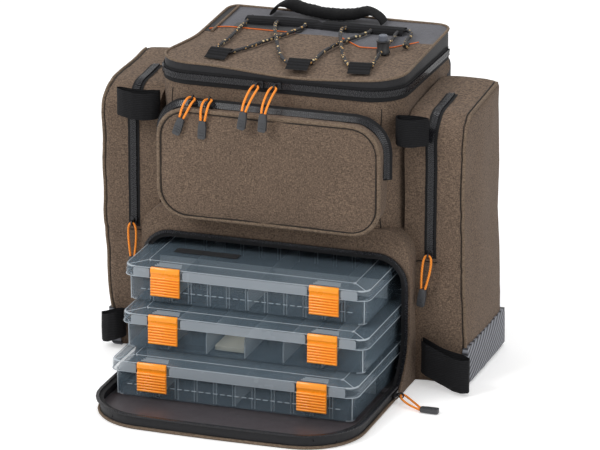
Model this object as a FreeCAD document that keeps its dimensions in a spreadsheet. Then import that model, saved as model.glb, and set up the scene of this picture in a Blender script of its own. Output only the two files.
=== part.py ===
import FreeCAD, Part
import math
import os
import re

import Sketcher
from FreeCAD import Rotation, Vector

# Tackle backpack: a soft fishing pack with a lower compartment for three flat tackle boxes,
# a zipped upper compartment, a front pocket, two side pockets and webbing loops for rods.
# Frame: +Z up, the front faces -Y, +X is to the right seen from the front.
# The origin is the middle of the pack's base, on the ground.  Millimetres.

DIMENSIONS = [
    ("fabric", 3.0, "thickness of a lined fabric wall"),
    ("gap", 0.3, "running clearance between pieces that move on each other"),
    ("tape", 1.5, "thickness of a zip's tape and chain"),
    # pack body
    ("lower_half", 150.0, "half width of the lower compartment"),
    ("upper_half", 136.0, "half width of the upper compartment"),
    ("back_face", 95.0, "rear face of the back panel"),
    ("back_pad", 16.0, "thickness of the padded back panel"),
    ("front_face", -100.0, "front face of the upper body"),
    ("base_front", -144.0, "front edge of the base, where the flap hinges"),
    ("base_thick", 5.9, "padded base"),
    ("opening_top", 146.0, "height of the lower compartment's opening"),
    ("opening_round", 24.0, "radius of the opening's upper corners"),
    ("surround_deep", 12.0, "depth of the binding round the opening"),
    ("surround_wide", 6.0, "width of the binding round the opening"),
    ("cheek_high", 40.0, "height where the side edges start to curve forward"),
    ("shelf_level", 138.0, "underside of the shelf between the compartments"),
    ("front_round", 40.0, "radius of the body's front corners in plan"),
    ("front_return", 50.0, "how far the front panel wraps back round each corner"),
    ("rim_level", 320.0, "top edge of the body's walls"),
    # front pocket
    ("pocket_half", 123.0, "half width of the front pocket"),
    ("pocket_shift", 2.0, "sideways place of the front pocket's middle"),
    ("pocket_low", 175.0, "lower edge of the front pocket"),
    ("pocket_top", 293.0, "upper edge of the front pocket"),
    ("pocket_deep", 29.0, "how far the front pocket stands out"),
    ("pocket_round", 30.0, "corner radius of the front pocket"),
    ("pocket_slot", 6.0, "width of the slit under a zip"),
    ("zip_wide", 12.0, "width of a zip's two tapes together"),
    # side pockets
    ("side_front", -78.5, "front face of a side pocket"),
    ("side_rear", 57.0, "rear face of a side pocket"),
    ("side_top", 305.0, "top of a side pocket"),
    ("side_wide", 53.0, "how far a side pocket stands out from the lower compartment"),
    ("side_foot_left", 44.0, "the same at the bottom on the left"),
    ("side_foot_right", 59.0, "the same at the bottom on the right"),
    ("side_half", "=lower_half + side_wide", "outer half width over the side pockets"),
    ("side_base_left", "=lower_half + side_foot_left", "outer half width at the bottom left"),
    ("side_base_right", "=lower_half + side_foot_right", "outer half width at the bottom right"),
    ("side_round", 20.0, "radius of a side pocket's top edges"),
    ("side_zip_inset", 18.0, "how far outside the lower compartment a side zip runs"),
    ("side_zip_place", "=lower_half + side_zip_inset", "sideways place of a side pocket's zip"),
    ("side_zip_low", 140.0, "lower end of a side pocket's zip"),
    ("side_zip_reach", 70.0, "how far a side zip runs back over the top"),
    ("guard_high", 43.0, "height of the ribbed guard on a side pocket"),
    # rod straps
    ("strap_thick", 2.0, "webbing of a rod strap"),
    ("strap_high", 30.0, "width of the webbing of an upper rod strap"),
    ("strap_low", 269.0, "lower edge of an upper rod strap"),
    ("strap_left_inset", 8.0, "how far outside the lower compartment the left one's middle is"),
    ("strap_left_place", "=lower_half + strap_left_inset", "sideways place of the left one"),
    ("strap_left_long", 52.0, "length of the upper left rod strap's loop"),
    ("strap_right_inset", 0.0, "how far outside the lower compartment the right one's middle is"),
    ("strap_right_place", "=lower_half + strap_right_inset", "sideways place of the right one"),
    ("strap_right_long", 41.0, "length of the upper right rod strap's loop"),
    ("strap_deep", 21.0, "how far an upper rod strap stands out"),
    ("foot_strap_inset", 41.0, "how far outside the lower compartment a lower one's middle is"),
    ("foot_strap_place", "=lower_half + foot_strap_inset", "sideways place of a lower rod strap"),
    ("foot_strap_long", 62.0, "length of the right lower rod strap's loop"),
    ("foot_strap_deep", 40.0, "how far a lower rod strap stands out"),
    ("foot_strap_low", 12.0, "lower edge of the right lower rod strap"),
    ("foot_strap_high", 40.0, "width of the webbing of a lower rod strap"),
    # lid
    ("rim_slot", 2.3, "slot between the body's rim and the lid, where the zip runs"),
    ("lid_front_high", 14.7, "height of the lid at its front edge"),
    ("lid_rear_high", 24.7, "height of the lid at its rear edge"),
    ("lid_low", "=rim_level + rim_slot", "lower edge of the lid"),
    ("lid_front_top", "=lid_low + lid_front_high", "top of the lid at its front edge"),
    ("lid_rear_top", "=lid_low + lid_rear_high", "top of the lid at its rear edge"),
    # flap
    ("flap_skew", 9.0, "how much shorter the flap reaches on the left"),
    ("flap_left", "=lower_half - flap_skew", "flap's reach to the left"),
    ("flap_right", "=lower_half", "flap's reach to the right"),
    ("flap_front", -309.0, "front edge of the flap as it lies on the ground"),
    ("flap_rear", -144.3, "rear edge of the flap, beside its hinge line"),
    ("flap_round", 60.0, "radius of the flap's front corners"),
    ("flap_thick", 4.0, "thickness of the flap's panel"),
    ("flap_wall", 15.0, "height of the wall that stands round the flap"),
    # tackle boxes
    ("box_long", 275.0, "length of a tackle box"),
    ("box_deep", 180.0, "depth of a tackle box"),
    ("box_high", 41.7, "height of a tackle box"),
    ("box_rim", 13.0, "height of a box lid's skirt"),
    ("box_round", 12.0, "corner radius of a tackle box"),
    ("box_wall", 2.0, "wall of a tackle box"),
    ("tray_inset", 4.0, "how far a tray's walls stand in from the lid's edge"),
    ("flange_thick", 2.0, "thickness of the flange round a tray"),
    ("divider_pitch", 43.0, "spacing of the dividers in the middle box"),
    ("latch_wide", 32.4, "width of a latch"),
    ("latch_high", 32.3, "height of a latch"),
    ("latch_thick", 4.0, "thickness of a latch"),
    ("latch_spread", 89.0, "half the distance between a box's two latches"),
    ("front_top", -178.0, "front face of the top box as it stands pulled out"),
    ("front_middle", -210.0, "front face of the middle box"),
    ("front_bottom", -243.0, "front face of the bottom box"),
    ("shift_top", -6.8, "sideways place of the top box"),
    ("shift_middle", 2.2, "sideways place of the middle box"),
    ("shift_bottom", 1.7, "sideways place of the bottom box"),
    # small hardware
    ("slider_long", 12.0, "length of a zip slider"),
    ("slider_wide", 9.0, "width of a zip slider"),
    ("slider_thick", 5.0, "thickness of a zip slider"),
    ("eye_wide", 3.0, "thickness of a slider's eye"),
    ("eye_size", 7.0, "outer size of a slider's eye"),
    ("eye_hole", 3.4, "hole in a slider's eye"),
    ("pull_cord", 2.2, "diameter of a pull's cord"),
    ("tip_long", 21.0, "length of a pull's moulded tip"),
    ("tip_wide", 9.0, "width of a pull's moulded tip"),
    ("tip_thick", 5.0, "thickness of a pull's moulded tip"),
    ("tab_wide", 24.0, "width of a webbing tab on the lid"),
    ("tab_deep", 28.0, "depth of a webbing tab on the lid"),
    ("tab_rise", 8.0, "height of the webbing over the lid where the cord passes"),
    ("band_half", 98.0, "half length of the band at the rear of the lid"),
    ("band_back", 52.0, "place of the band from front to back"),
    ("bungee", 4.0, "diameter of the elastic cord"),
    ("barrel_round", 7.5, "radius of the cord lock's barrel"),
    ("barrel_high", 15.0, "height of the cord lock's barrel"),
    ("plunger_round", 5.0, "radius of the cord lock's plunger"),
    ("plunger_rise", 6.0, "how far the plunger stands above its barrel"),
    ("lock_place", 93.0, "sideways place of the cord lock"),
    ("lock_back", -16.0, "place of the cord lock from front to back"),
    # carrying parts
    ("handle_half", 52.0, "half the distance between the handle's feet"),
    ("handle_back", 78.0, "place of the handle from front to back"),
    ("handle_wide", 24.0, "width of the handle's grip"),
    ("grip_thick", 9.0, "thickness of the handle's grip"),
    ("handle_rise", 16.0, "height of the handle's shoulders above the lid"),
    ("harness_place", 62.0, "sideways place of a shoulder strap"),
    ("harness_wide", 62.0, "width of a shoulder strap"),
    ("harness_thick", 13.0, "padding of a shoulder strap"),
    ("webbing_wide", 25.0, "width of the harness webbing"),
    ("webbing_thick", 2.0, "thickness of the harness webbing"),
]

doc = FreeCAD.newDocument("tackle_backpack")
sheet = doc.addObject("Spreadsheet::Sheet", "dims")
for row, (alias, number, meaning) in enumerate(DIMENSIONS, 1):
    sheet.set("A%d" % row, meaning)
    sheet.set("B%d" % row, str(number))
    sheet.setAlias("B%d" % row, alias)
doc.recompute()

ALIASES = {alias for alias, number, meaning in DIMENSIONS}
NORMALS = {"XY_Plane": Vector(0, 0, 1), "XZ_Plane": Vector(0, 1, 0), "YZ_Plane": Vector(1, 0, 0)}
nodes = {}


def bound(text):
    """The expression with every dimension's name pointing at its cell."""
    def point(word):
        return "dims." + word.group() if word.group() in ALIASES else word.group()
    return re.sub(r"[a-z_]+", point, str(text))


def size(text):
    """The number that an expression gives now."""
    return float(sheet.evalExpression(str(text)))


def node(label, *pieces):
    """Names a sub-part; several pieces become one group of separate solids."""
    item = pieces[0]
    if len(pieces) > 1:
        item = doc.addObject("Part::Compound", "group_" + label)
        item.Links = list(pieces)
    item.Label = label
    nodes[label] = item
    return item


def box(name, low, high):
    """A block between two opposite corners."""
    block = doc.addObject("Part::Box", name)
    for axis, side, a, b in zip("xyz", ("Length", "Width", "Height"), low, high):
        block.setExpression("Placement.Base." + axis, bound(a))
        block.setExpression(side, bound("(%s) - (%s)" % (b, a)))
    return block


def rod(name, start, radius, length, axis):
    """A cylinder that starts at a point and runs along +X, +Y or +Z."""
    turns = {"x": Rotation(Vector(0, 1, 0), 90), "y": Rotation(Vector(1, 0, 0), -90),
             "z": Rotation()}
    cylinder = doc.addObject("Part::Cylinder", name)
    cylinder.Placement = FreeCAD.Placement(Vector(), turns[axis])
    for letter, place in zip("xyz", start):
        cylinder.setExpression("Placement.Base." + letter, bound(place))
    cylinder.setExpression("Radius", bound(radius))
    cylinder.setExpression("Height", bound(length))
    return cylinder


def fuse(name, *pieces):
    """One solid out of several that meet."""
    union = doc.addObject("Part::MultiFuse", name)
    union.Shapes = list(pieces)
    union.Refine = True
    return union


def cut(name, base, *tools):
    """A piece with others taken out of it."""
    result = doc.addObject("Part::Cut", name)
    result.Base = base
    result.Tool = tools[0] if len(tools) == 1 else fuse(name + "_tools", *tools)
    return result


def common(name, first, second):
    """What two pieces share."""
    result = doc.addObject("Part::Common", name)
    result.Base = first
    result.Tool = second
    return result


def mirror(piece):
    """The same piece on the other side of the pack."""
    other = doc.addObject("Part::Mirroring", piece.Name + "_other")
    other.Source = piece
    other.Normal = (1, 0, 0)
    return other


def pad(name, plane, corners, start, depth, rounds=()):
    """An outline drawn on an origin plane and padded, with some of its corners rounded.

    The corners are pairs of expressions, in the plane's own two axes.  The pad runs from
    start towards the plane's positive axis.  Rounds are pairs of a radius and the numbers
    of the corners that take it.
    """
    body = doc.addObject("PartDesign::Body", name)
    origin_plane = [f for f in body.Origin.OriginFeatures if f.Role == plane][0]
    sketch = body.newObject("Sketcher::SketchObject", name + "_sketch")
    sketch.AttachmentSupport = [(origin_plane, "")]
    sketch.MapMode = "FlatFace"
    # the sketch on the XZ plane faces -Y, so its pad starts from the far side
    offset = "-((%s) + (%s))" % (start, depth) if plane == "XZ_Plane" else start
    sketch.setExpression("AttachmentOffset.Base.z", bound(offset))
    count = len(corners)
    places = [Vector(size(u), size(v), 0) for u, v in corners]
    for i in range(count):
        sketch.addGeometry(Part.LineSegment(places[i], places[(i + 1) % count]), False)
    for i in range(count):
        sketch.addConstraint(Sketcher.Constraint("Coincident", i, 2, (i + 1) % count, 1))
    for i, pair in enumerate(corners):
        for kind, place in zip(("DistanceX", "DistanceY"), pair):
            number = sketch.addConstraint(Sketcher.Constraint(kind, -1, 1, i, 1, size(place)))
            sketch.setExpression("Constraints[%d]" % number, bound(place))
    feature = body.newObject("PartDesign::Pad", name + "_pad")
    feature.Profile = sketch
    feature.setExpression("Length", bound(depth))
    doc.recompute()
    normal = NORMALS[plane]
    for radius, numbers in rounds:
        last = body.Tip
        wanted = [sketch.getGlobalPlacement().multVec(places[i]) for i in numbers]
        edges = []
        for k, edge in enumerate(last.Shape.Edges, 1):
            ends = [vertex.Point for vertex in edge.Vertexes]
            if len(ends) < 2 or abs((ends[1] - ends[0]).normalize().dot(normal)) < 0.999:
                continue
            if any(corner.distanceToLine(ends[0], normal) < 0.01 for corner in wanted):
                edges.append("Edge%d" % k)
        fillet = body.newObject("PartDesign::Fillet", name + "_round")
        fillet.Base = (last, edges)
        fillet.setExpression("Radius", bound(radius))
        doc.recompute()
    return body


def slab(name, left, right, front, rear, low, high, rounds=()):
    """A plan outline with the corners front left, front right, rear right, rear left."""
    corners = [(left, front), (right, front), (right, rear), (left, rear)]
    return pad(name, "XY_Plane", corners, low, "(%s) - (%s)" % (high, low), rounds)


# ---------------------------------------------------------------- pack body

node("base_panel",
     box("base_block", ("-lower_half", "base_front", 0), ("lower_half", "back_face", "base_thick")))

node("back_panel",
     pad("back_board", "XZ_Plane",
         [("-lower_half", "base_thick"), ("lower_half", "base_thick"),
          ("lower_half", "opening_top"), ("upper_half", "opening_top + back_pad"),
          ("upper_half", "rim_level"), ("-upper_half", "rim_level"),
          ("-upper_half", "opening_top + back_pad"), ("-lower_half", "opening_top")],
         "back_face - back_pad", "back_pad", [("back_pad", (4, 5))]))

# each side wall steps in above the lower compartment, under the side pocket's inner edge
INNER_BACK = "back_face - back_pad"
STEP_LEVEL = "opening_top + surround_wide"
walls = fuse(
    "right_wall",
    box("wall_low", ("lower_half - fabric", "front_face + surround_deep", "base_thick"),
        ("lower_half", INNER_BACK, STEP_LEVEL)),
    box("wall_step", ("upper_half - fabric", "front_face + surround_deep", STEP_LEVEL + " - fabric"),
        ("lower_half", INNER_BACK, STEP_LEVEL)),
    box("wall_high", ("upper_half - fabric", "front_face + front_return", STEP_LEVEL + " - fabric"),
        ("upper_half", INNER_BACK, "rim_level")))
node("side_walls", walls, mirror(walls))

node("shelf_panel",
     box("shelf", ("fabric - lower_half", "front_face + surround_deep", "shelf_level"),
         ("lower_half - fabric", INNER_BACK, "shelf_level + fabric")))

# the front panel wraps round both front corners and ends on the side walls
node("front_panel", cut(
    "front_sheet",
    slab("front_outer", "-upper_half", "upper_half", "front_face", "front_face + front_return",
         STEP_LEVEL, "rim_level", [("front_round", (0, 1))]),
    slab("front_inner", "fabric - upper_half", "upper_half - fabric", "front_face + fabric",
         "front_face + front_return + fabric", STEP_LEVEL + " - fabric", "rim_level + fabric",
         [("front_round - fabric", (0, 1))])))


def arch(name, half, top, round_size, start, depth):
    """A tall opening's outline with rounded upper corners, standing on the base."""
    return pad(name, "XZ_Plane",
               [("-(%s)" % half, "base_thick"), (half, "base_thick"), (half, top),
                ("-(%s)" % half, top)], start, depth, [(round_size, (2, 3))])


OPENING_HALF = "lower_half - fabric"
ring = cut(
    "surround_ring",
    arch("ring_outer", OPENING_HALF + " + surround_wide", STEP_LEVEL,
         "opening_round + surround_wide", "front_face", "surround_deep"),
    arch("ring_inner", OPENING_HALF, "opening_top", "opening_round",
         "front_face - fabric", "surround_deep + 2 * fabric"))
# below, the edge of each side curves forward to the hinge line of the flap
cheeks = []
for side, left in (("right", "lower_half - fabric"), ("left", "-lower_half")):
    cheeks.append(pad("cheek_" + side, "YZ_Plane",
                      [("front_face", "base_thick"), ("front_face", "cheek_high"),
                       ("front_face - 0.3 * cheek_high", "cheek_high / 2"),
                       ("base_front", "base_thick")], left, "fabric"))
node("compartment_surround", fuse("surround", ring, *cheeks))

node("compartment_zip", cut(
    "arch_zip",
    arch("arch_zip_outer", OPENING_HALF + " + surround_wide", STEP_LEVEL,
         "opening_round + surround_wide", "front_face - tape", "tape"),
    arch("arch_zip_inner", OPENING_HALF, "opening_top", "opening_round",
         "front_face - 2 * tape", "3 * tape"),
    box("arch_zip_foot", ("-2 * lower_half", "front_face - 2 * tape", 0),
        ("2 * lower_half", "front_face", "cheek_high"))))

# ---------------------------------------------------------------- front pocket

POCKET = [("pocket_shift - pocket_half", "pocket_low"), ("pocket_shift + pocket_half", "pocket_low"),
          ("pocket_shift + pocket_half", "pocket_top"), ("pocket_shift - pocket_half", "pocket_top")]


def pocket_outline(name, grow, start, depth):
    """The front pocket's rounded outline, grown outwards by an amount."""
    signs = ((-1, -1), (1, -1), (1, 1), (-1, 1))
    corners = [("%s + (%d) * (%s)" % (u, a, grow), "%s + (%d) * (%s)" % (v, b, grow))
               for (u, v), (a, b) in zip(POCKET, signs)]
    return pad(name, "XZ_Plane", corners, start, depth,
               [("pocket_round + (%s)" % grow, (0, 1, 2, 3))])


ZIP_FRONT = "front_face - pocket_deep / 2 - zip_wide / 2"
node("front_pocket", cut(
    "pocket_shell",
    pocket_outline("pocket_outer", "0", "front_face - pocket_deep", "pocket_deep"),
    pocket_outline("pocket_inner", "-fabric", "front_face - pocket_deep + fabric", "pocket_deep"),
    box("pocket_slit",
        ("pocket_shift - pocket_half + pocket_round",
         "front_face - pocket_deep / 2 - pocket_slot / 2", "pocket_top - 2 * fabric"),
        ("pocket_shift + pocket_half - pocket_round",
         "front_face - pocket_deep / 2 + pocket_slot / 2", "pocket_top + fabric"))))
pocket_zip = cut(
    "pocket_zip_band",
    pocket_outline("pocket_zip_outer", "tape", ZIP_FRONT, "zip_wide"),
    pocket_outline("pocket_zip_inner", "0", ZIP_FRONT + " - tape", "zip_wide + 2 * tape"),
    box("pocket_zip_end", ("-2 * lower_half", ZIP_FRONT + " - tape", "pocket_low - fabric"),
        ("2 * lower_half", "front_face", "(pocket_low + pocket_top) / 2")))

# ---------------------------------------------------------------- side pockets

SIDE_INNER = "lower_half + gap"
SIDE_UPPER = "upper_half + gap"
SIDE_STEP = STEP_LEVEL + " + gap"


def side_outline(name, sign, base_half, inset, start, depth):
    """A side pocket seen from the front: it follows the body's step and rounds over above."""
    s = str(sign)
    corners = [
        ("%s * (%s + %s)" % (s, SIDE_INNER, inset), "%s" % inset),
        ("%s * (%s - %s)" % (s, base_half, inset), "%s" % inset),
        ("%s * (side_half - %s)" % (s, inset), "side_top / 2"),
        ("%s * (side_half - %s)" % (s, inset), "side_top - %s" % inset),
        ("%s * (%s + %s)" % (s, SIDE_UPPER, inset), "side_top - %s" % inset),
        ("%s * (%s + %s)" % (s, SIDE_UPPER, inset), "%s + %s" % (SIDE_STEP, inset)),
        ("%s * (%s + %s)" % (s, SIDE_INNER, inset), "%s + %s" % (SIDE_STEP, inset))]
    return pad(name, "XZ_Plane", corners, start, depth, [("side_round - %s" % inset, (3,))])


sacks, side_zips, guards = [], [], []
for side, sign in (("left", -1), ("right", 1)):
    base_half = "side_base_" + side
    zip_middle = "(%d) * side_zip_place" % sign
    slit = box("side_slit_" + side,
               (zip_middle + " - pocket_slot / 2", "side_front - fabric", "side_zip_low + fabric"),
               (zip_middle + " + pocket_slot / 2", "side_front + 2 * fabric", "side_top - side_round"))
    sacks.append(cut(
        "sack_" + side,
        side_outline("sack_outer_" + side, sign, base_half, "0", "side_front",
                     "side_rear - side_front"),
        side_outline("sack_inner_" + side, sign, base_half, "fabric", "side_front + fabric",
                     "side_rear - side_front - 2 * fabric"),
        slit))
    side_zips.append(fuse(
        "side_zip_" + side,
        box("side_zip_face_" + side,
            (zip_middle + " - zip_wide / 2", "side_front - tape", "side_zip_low"),
            (zip_middle + " + zip_wide / 2", "side_front", "side_top + tape")),
        box("side_zip_over_" + side,
            (zip_middle + " - zip_wide / 2", "side_front - tape", "side_top"),
            (zip_middle + " + zip_wide / 2", "side_front + side_zip_reach", "side_top + tape"))))
    outer = "(%d) * (%s)" % (sign, base_half)
    lean = "(%d) * (side_half - %s) * guard_high / (side_top / 2)" % (sign, base_half)
    guards.append(pad(
        "guard_" + side, "XZ_Plane",
        [(outer, "0"), ("%s + (%d) * fabric" % (outer, sign), "0"),
         ("%s + %s + (%d) * fabric" % (outer, lean, sign), "guard_high"),
         ("%s + %s" % (outer, lean), "guard_high")], "side_front", "side_rear - side_front"))
node("side_pockets", *sacks)
node("pocket_zips", pocket_zip, *side_zips)
node("side_guards", *guards)

# ---------------------------------------------------------------- rod straps


def loop(name, middle, long, deep, rear, low, high):
    """A band of webbing sewn to a side pocket's front, open above and below."""
    front = "%s - (%s)" % (rear, deep)
    round_size = "(%s) / 2 - strap_thick / 4" % deep
    return cut(
        name,
        slab(name + "_outer", "%s - (%s) / 2" % (middle, long), "%s + (%s) / 2" % (middle, long),
             front, rear, low, high, [(round_size, (0, 1, 2, 3))]),
        slab(name + "_inner", "%s - (%s) / 2 + strap_thick" % (middle, long),
             "%s + (%s) / 2 - strap_thick" % (middle, long), front + " + strap_thick",
             rear + " - strap_thick", "(%s) - fabric" % low, "(%s) + fabric" % high,
             [(round_size + " - strap_thick", (0, 1, 2, 3))]))


# the upper straps cross in front of the side zips, so they stand off by the tape
upper_straps = [loop("upper_strap_" + side, "(%d) * strap_%s_place" % (sign, side),
                     "strap_%s_long" % side, "strap_deep", "side_front - tape - gap",
                     "strap_low", "strap_low + strap_high")
                for side, sign in (("left", -1), ("right", 1))]
node("rod_straps", *upper_straps,
     loop("lower_strap_right", "foot_strap_place", "foot_strap_long", "foot_strap_deep",
          "side_front - gap", "foot_strap_low", "foot_strap_low + foot_strap_high"),
     loop("lower_strap_left", "-foot_strap_place", "foot_strap_long / 2", "foot_strap_deep / 2",
          "side_front - gap", "foot_strap_low / 2", "foot_strap_low / 2 + strap_high"))

# ---------------------------------------------------------------- harness on the back


def strap_outline(name, left, wide, points, thick):
    """A band that follows points in a vertical plane, thickened towards the rear."""
    front = [("%s" % y, "%s" % z) for y, z in points]
    rear = [("%s + %s" % (y, thick), "%s" % z) for y, z in reversed(points)]
    return pad(name, "YZ_Plane", front + rear, left, wide)


harness_points = [("back_face + gap", "rim_level - 22"), ("back_face + 16", "rim_level - 40"),
                  ("back_face + 30", "rim_level - 80"), ("back_face + 34", "rim_level - 120"),
                  ("back_face + 26", "rim_level - 165"), ("back_face + 12", "rim_level - 205")]
strap = strap_outline("strap_pad", "harness_place - harness_wide / 2", "harness_wide",
                      harness_points, "harness_thick")
tail = strap_outline("strap_tail", "harness_place - webbing_wide / 2", "webbing_wide",
                     [("back_face + 12", "rim_level - 205 - gap"),
                      ("back_face + 9", "rim_level - 240"),
                      ("back_face + gap", "base_thick + 8")], "webbing_thick")
buckle = box("strap_buckle",
             ("harness_place - 17", "back_face + 14.5", "rim_level - 232"),
             ("harness_place + 17", "back_face + 21", "rim_level - 205 - gap"))
node("shoulder_straps", strap, mirror(strap))
node("shoulder_webbing", tail, mirror(tail))
node("strap_buckles", buckle, mirror(buckle))

# ---------------------------------------------------------------- lid


def lid_plan(name, inset, low, high):
    """The lid's plan outline: straight sides and rear, rounded front corners."""
    return slab(name, "%s - upper_half" % inset, "upper_half - (%s)" % inset,
                "front_face + %s" % inset, "back_face - (%s)" % inset, low, high,
                [("front_round - (%s)" % inset, (0, 1)), ("back_pad - (%s)" % inset, (2, 3))])


def lid_slope(name, drop):
    """The space under the lid's sloping top, as a wedge over the full width."""
    return pad(name, "YZ_Plane",
               [("front_face - fabric", "lid_low - fabric"), ("back_face + fabric", "lid_low - fabric"),
                ("back_face + fabric", "lid_rear_top - %s" % drop),
                ("front_face - fabric", "lid_front_top - %s" % drop)],
               "-2 * upper_half", "4 * upper_half")


node("lid_panel", cut(
    "lid_shell",
    common("lid_block", lid_plan("lid_outer", "0", "lid_low", "2 * lid_rear_top - lid_low"),
           lid_slope("lid_top_slope", "0")),
    common("lid_hollow", lid_plan("lid_inner", "fabric", "lid_low - fabric", "2 * lid_rear_top - lid_low"),
           lid_slope("lid_lining_slope", "fabric"))))


def rim_band(name, low, high):
    """A zip's tape round the front and sides of the rim, open at the rear."""
    return cut(
        name,
        slab(name + "_outer", "-upper_half - tape", "upper_half + tape", "front_face - tape",
             INNER_BACK, low, high, [("front_round + tape", (0, 1))]),
        slab(name + "_inner", "-upper_half", "upper_half", "front_face", INNER_BACK + " + tape",
             "%s - tape" % low, "%s + tape" % high, [("front_round", (0, 1))]))


node("rim_zip", rim_band("rim_zip_band", "rim_level - zip_wide / 2", "lid_low - 2 * gap"))
node("lid_zip", rim_band("lid_zip_band", "lid_low", "lid_low + zip_wide / 2"))


def lid_top(back):
    """Height of the lid's sloping top at a place from front to back."""
    return ("(lid_front_top + (lid_rear_top - lid_front_top) * ((%s) - front_face + fabric)"
            " / (back_face - front_face + 2 * fabric))" % back)


# three webbing tabs hold the elastic cord at the front and a band holds it at the rear
TABS = [("-73", "-68"), ("20", "-78"), ("86", "-72")]
webbing = []
for number, (across, back) in enumerate(TABS, 1):
    top = lid_top(back) + " + tab_rise"
    webbing.append(cut(
        "tab_%d" % number,
        box("tab_outer_%d" % number,
            (across + " - tab_wide / 2", back + " - tab_deep / 2", "lid_low"),
            (across + " + tab_wide / 2", back + " + tab_deep / 2", top)),
        box("tab_inner_%d" % number,
            (across + " - tab_wide", back + " - tab_deep / 2 + strap_thick", "lid_low - fabric"),
            (across + " + tab_wide", back + " + tab_deep / 2 - strap_thick", top + " - strap_thick")),
        lid_slope("tab_seat_%d" % number, "0")))
band_top = lid_top("band_back") + " + tab_rise"
webbing.append(cut(
    "rear_band",
    box("band_outer", ("-band_half", "band_back - webbing_wide / 2", "lid_low"),
        ("band_half", "band_back + webbing_wide / 2", band_top)),
    box("band_left_bay", ("strap_thick - band_half", "band_back - webbing_wide", "lid_low - fabric"),
        ("-strap_thick / 2", "band_back + webbing_wide", band_top + " - strap_thick")),
    box("band_right_bay", ("strap_thick / 2", "band_back - webbing_wide", "lid_low - fabric"),
        ("band_half - strap_thick", "band_back + webbing_wide", band_top + " - strap_thick")),
    lid_slope("band_seat", "0")))
node("cord_webbing", *webbing)


def tube(name, points, diameter):
    """A cord's tube: straight runs joined by tangent arcs, as large as the runs allow."""
    points = [Vector(*point) for point in points]
    edges, last, radii, length = [], points[0], [], 0.0
    for before, corner, after in zip(points, points[1:], points[2:]):
        come, leave = before - corner, after - corner
        reach = 0.45 * min(come.Length, leave.Length)
        half_turn = (math.pi - come.getAngle(leave)) / 2
        start = corner + come.normalize() * reach
        end = corner + leave.normalize() * reach
        radius = reach / math.tan(half_turn)
        inward = (come + leave).normalize()
        middle = corner + inward * (radius / math.cos(half_turn) - radius)
        edges += [Part.LineSegment(last, start).toShape(), Part.Arc(start, middle, end).toShape()]
        last = end
        radii.append(radius)
    edges.append(Part.LineSegment(last, points[-1]).toShape())
    path = Part.Wire(edges)
    ring = Part.Wire(Part.Circle(points[0], points[1] - points[0], diameter / 2).toShape())
    solid = path.makePipeShell([ring], True, False)
    expected = math.pi * diameter ** 2 / 4 * path.Length
    print("%s: length %.1f, radii %s, volume ratio %.4f" % (
        name, path.Length, " ".join("%.1f" % radius for radius in radii), solid.Volume / expected))
    feature = doc.addObject("Part::Feature", name)
    feature.Shape = solid
    return feature


# the elastic cord zigzags over the lid: across, front to back, and height over the lid
BUNGEE_ROUTE = [
    (-80, 56, 3), (-81, 22, 3), (-79, -22, 3), (-84, -60, 3), (-68, -70, 3), (-52, -48, 3),
    (-37, -14, 3), (-20, 20, 3), (-12, 46, 3), (-30, 58, 3), (-50, 50, 3), (-40, 14, 8),
    (-27, -18, 8), (-12, -52, 3), (4, -78, 3), (20, -83, 3), (33, -68, 3), (31, -36, 3),
    (39, -2, 3), (54, 28, 3), (62, 48, 3), (46, 58, 3), (27, 46, 3), (34, 16, 8), (44, -12, 8),
    (58, -46, 3), (72, -70, 3), (86, -77, 3), (97, -66, 3), (94, -40, 5), (92, -6, 5), (91, 26, 3),
    (87, 50, 3), (97, 59, 3), (107, 44, 3), (105, 22, 3), (112, 5, 4.4)]
bungee_points = [(x, y, size(lid_top(y)) + rise) for x, y, rise in BUNGEE_ROUTE]
node("bungee_cord", tube("bungee_tube", bungee_points, size("bungee")))
knot = Part.makeSphere(size("bungee"), Vector(*bungee_points[-1]))
knot_piece = doc.addObject("Part::Feature", "knot")
knot_piece.Shape = knot.cut(doc.getObject("bungee_tube").Shape)
node("cord_knot", knot_piece)

# the cord lock: a barrel that the cord runs through, and a sprung plunger in its top
LOCK_LOW = lid_top("lock_back") + " + gap + 0.2"
CORD_LEVEL = lid_top("lock_back") + " + 5"
node("cord_lock_barrel", cut(
    "barrel_bored",
    rod("barrel", ("lock_place", "lock_back", LOCK_LOW), "barrel_round", "barrel_high", "z"),
    rod("cord_bore", ("lock_place", "lock_back - 2 * barrel_round", CORD_LEVEL),
        "bungee / 2 + 4 * gap", "4 * barrel_round", "y"),
    rod("plunger_bore", ("lock_place", "lock_back", LOCK_LOW + " + barrel_high / 2 + bungee / 2"),
        "plunger_round + gap", "barrel_high", "z")))
node("cord_lock_plunger",
     rod("plunger", ("lock_place", "lock_back", LOCK_LOW + " + barrel_high - 2"),
         "plunger_round", "plunger_rise + 2", "z"))

# the padded handle stands on two feet and sags between its shoulders
FOOT_LEVEL = lid_top("handle_back + handle_wide / 2") + " + gap"
node("carry_handle", pad(
    "handle", "XZ_Plane",
    [("-handle_half - 12", FOOT_LEVEL), ("-handle_half - 6", FOOT_LEVEL),
     ("-handle_half + 4", FOOT_LEVEL + " + handle_rise - grip_thick - 2"),
     ("-handle_half / 2", FOOT_LEVEL + " + handle_rise - grip_thick"),
     ("handle_half / 2", FOOT_LEVEL + " + handle_rise - grip_thick - 1"),
     ("handle_half - 4", FOOT_LEVEL + " + handle_rise - grip_thick - 2"),
     ("handle_half + 6", FOOT_LEVEL), ("handle_half + 12", FOOT_LEVEL),
     ("handle_half + 4", FOOT_LEVEL + " + handle_rise"),
     ("handle_half / 2", FOOT_LEVEL + " + handle_rise - 2"),
     ("-handle_half / 2", FOOT_LEVEL + " + handle_rise - 1"),
     ("-handle_half - 4", FOOT_LEVEL + " + handle_rise + 1")],
    "handle_back - handle_wide / 2", "handle_wide"))

# ---------------------------------------------------------------- flap


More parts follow.
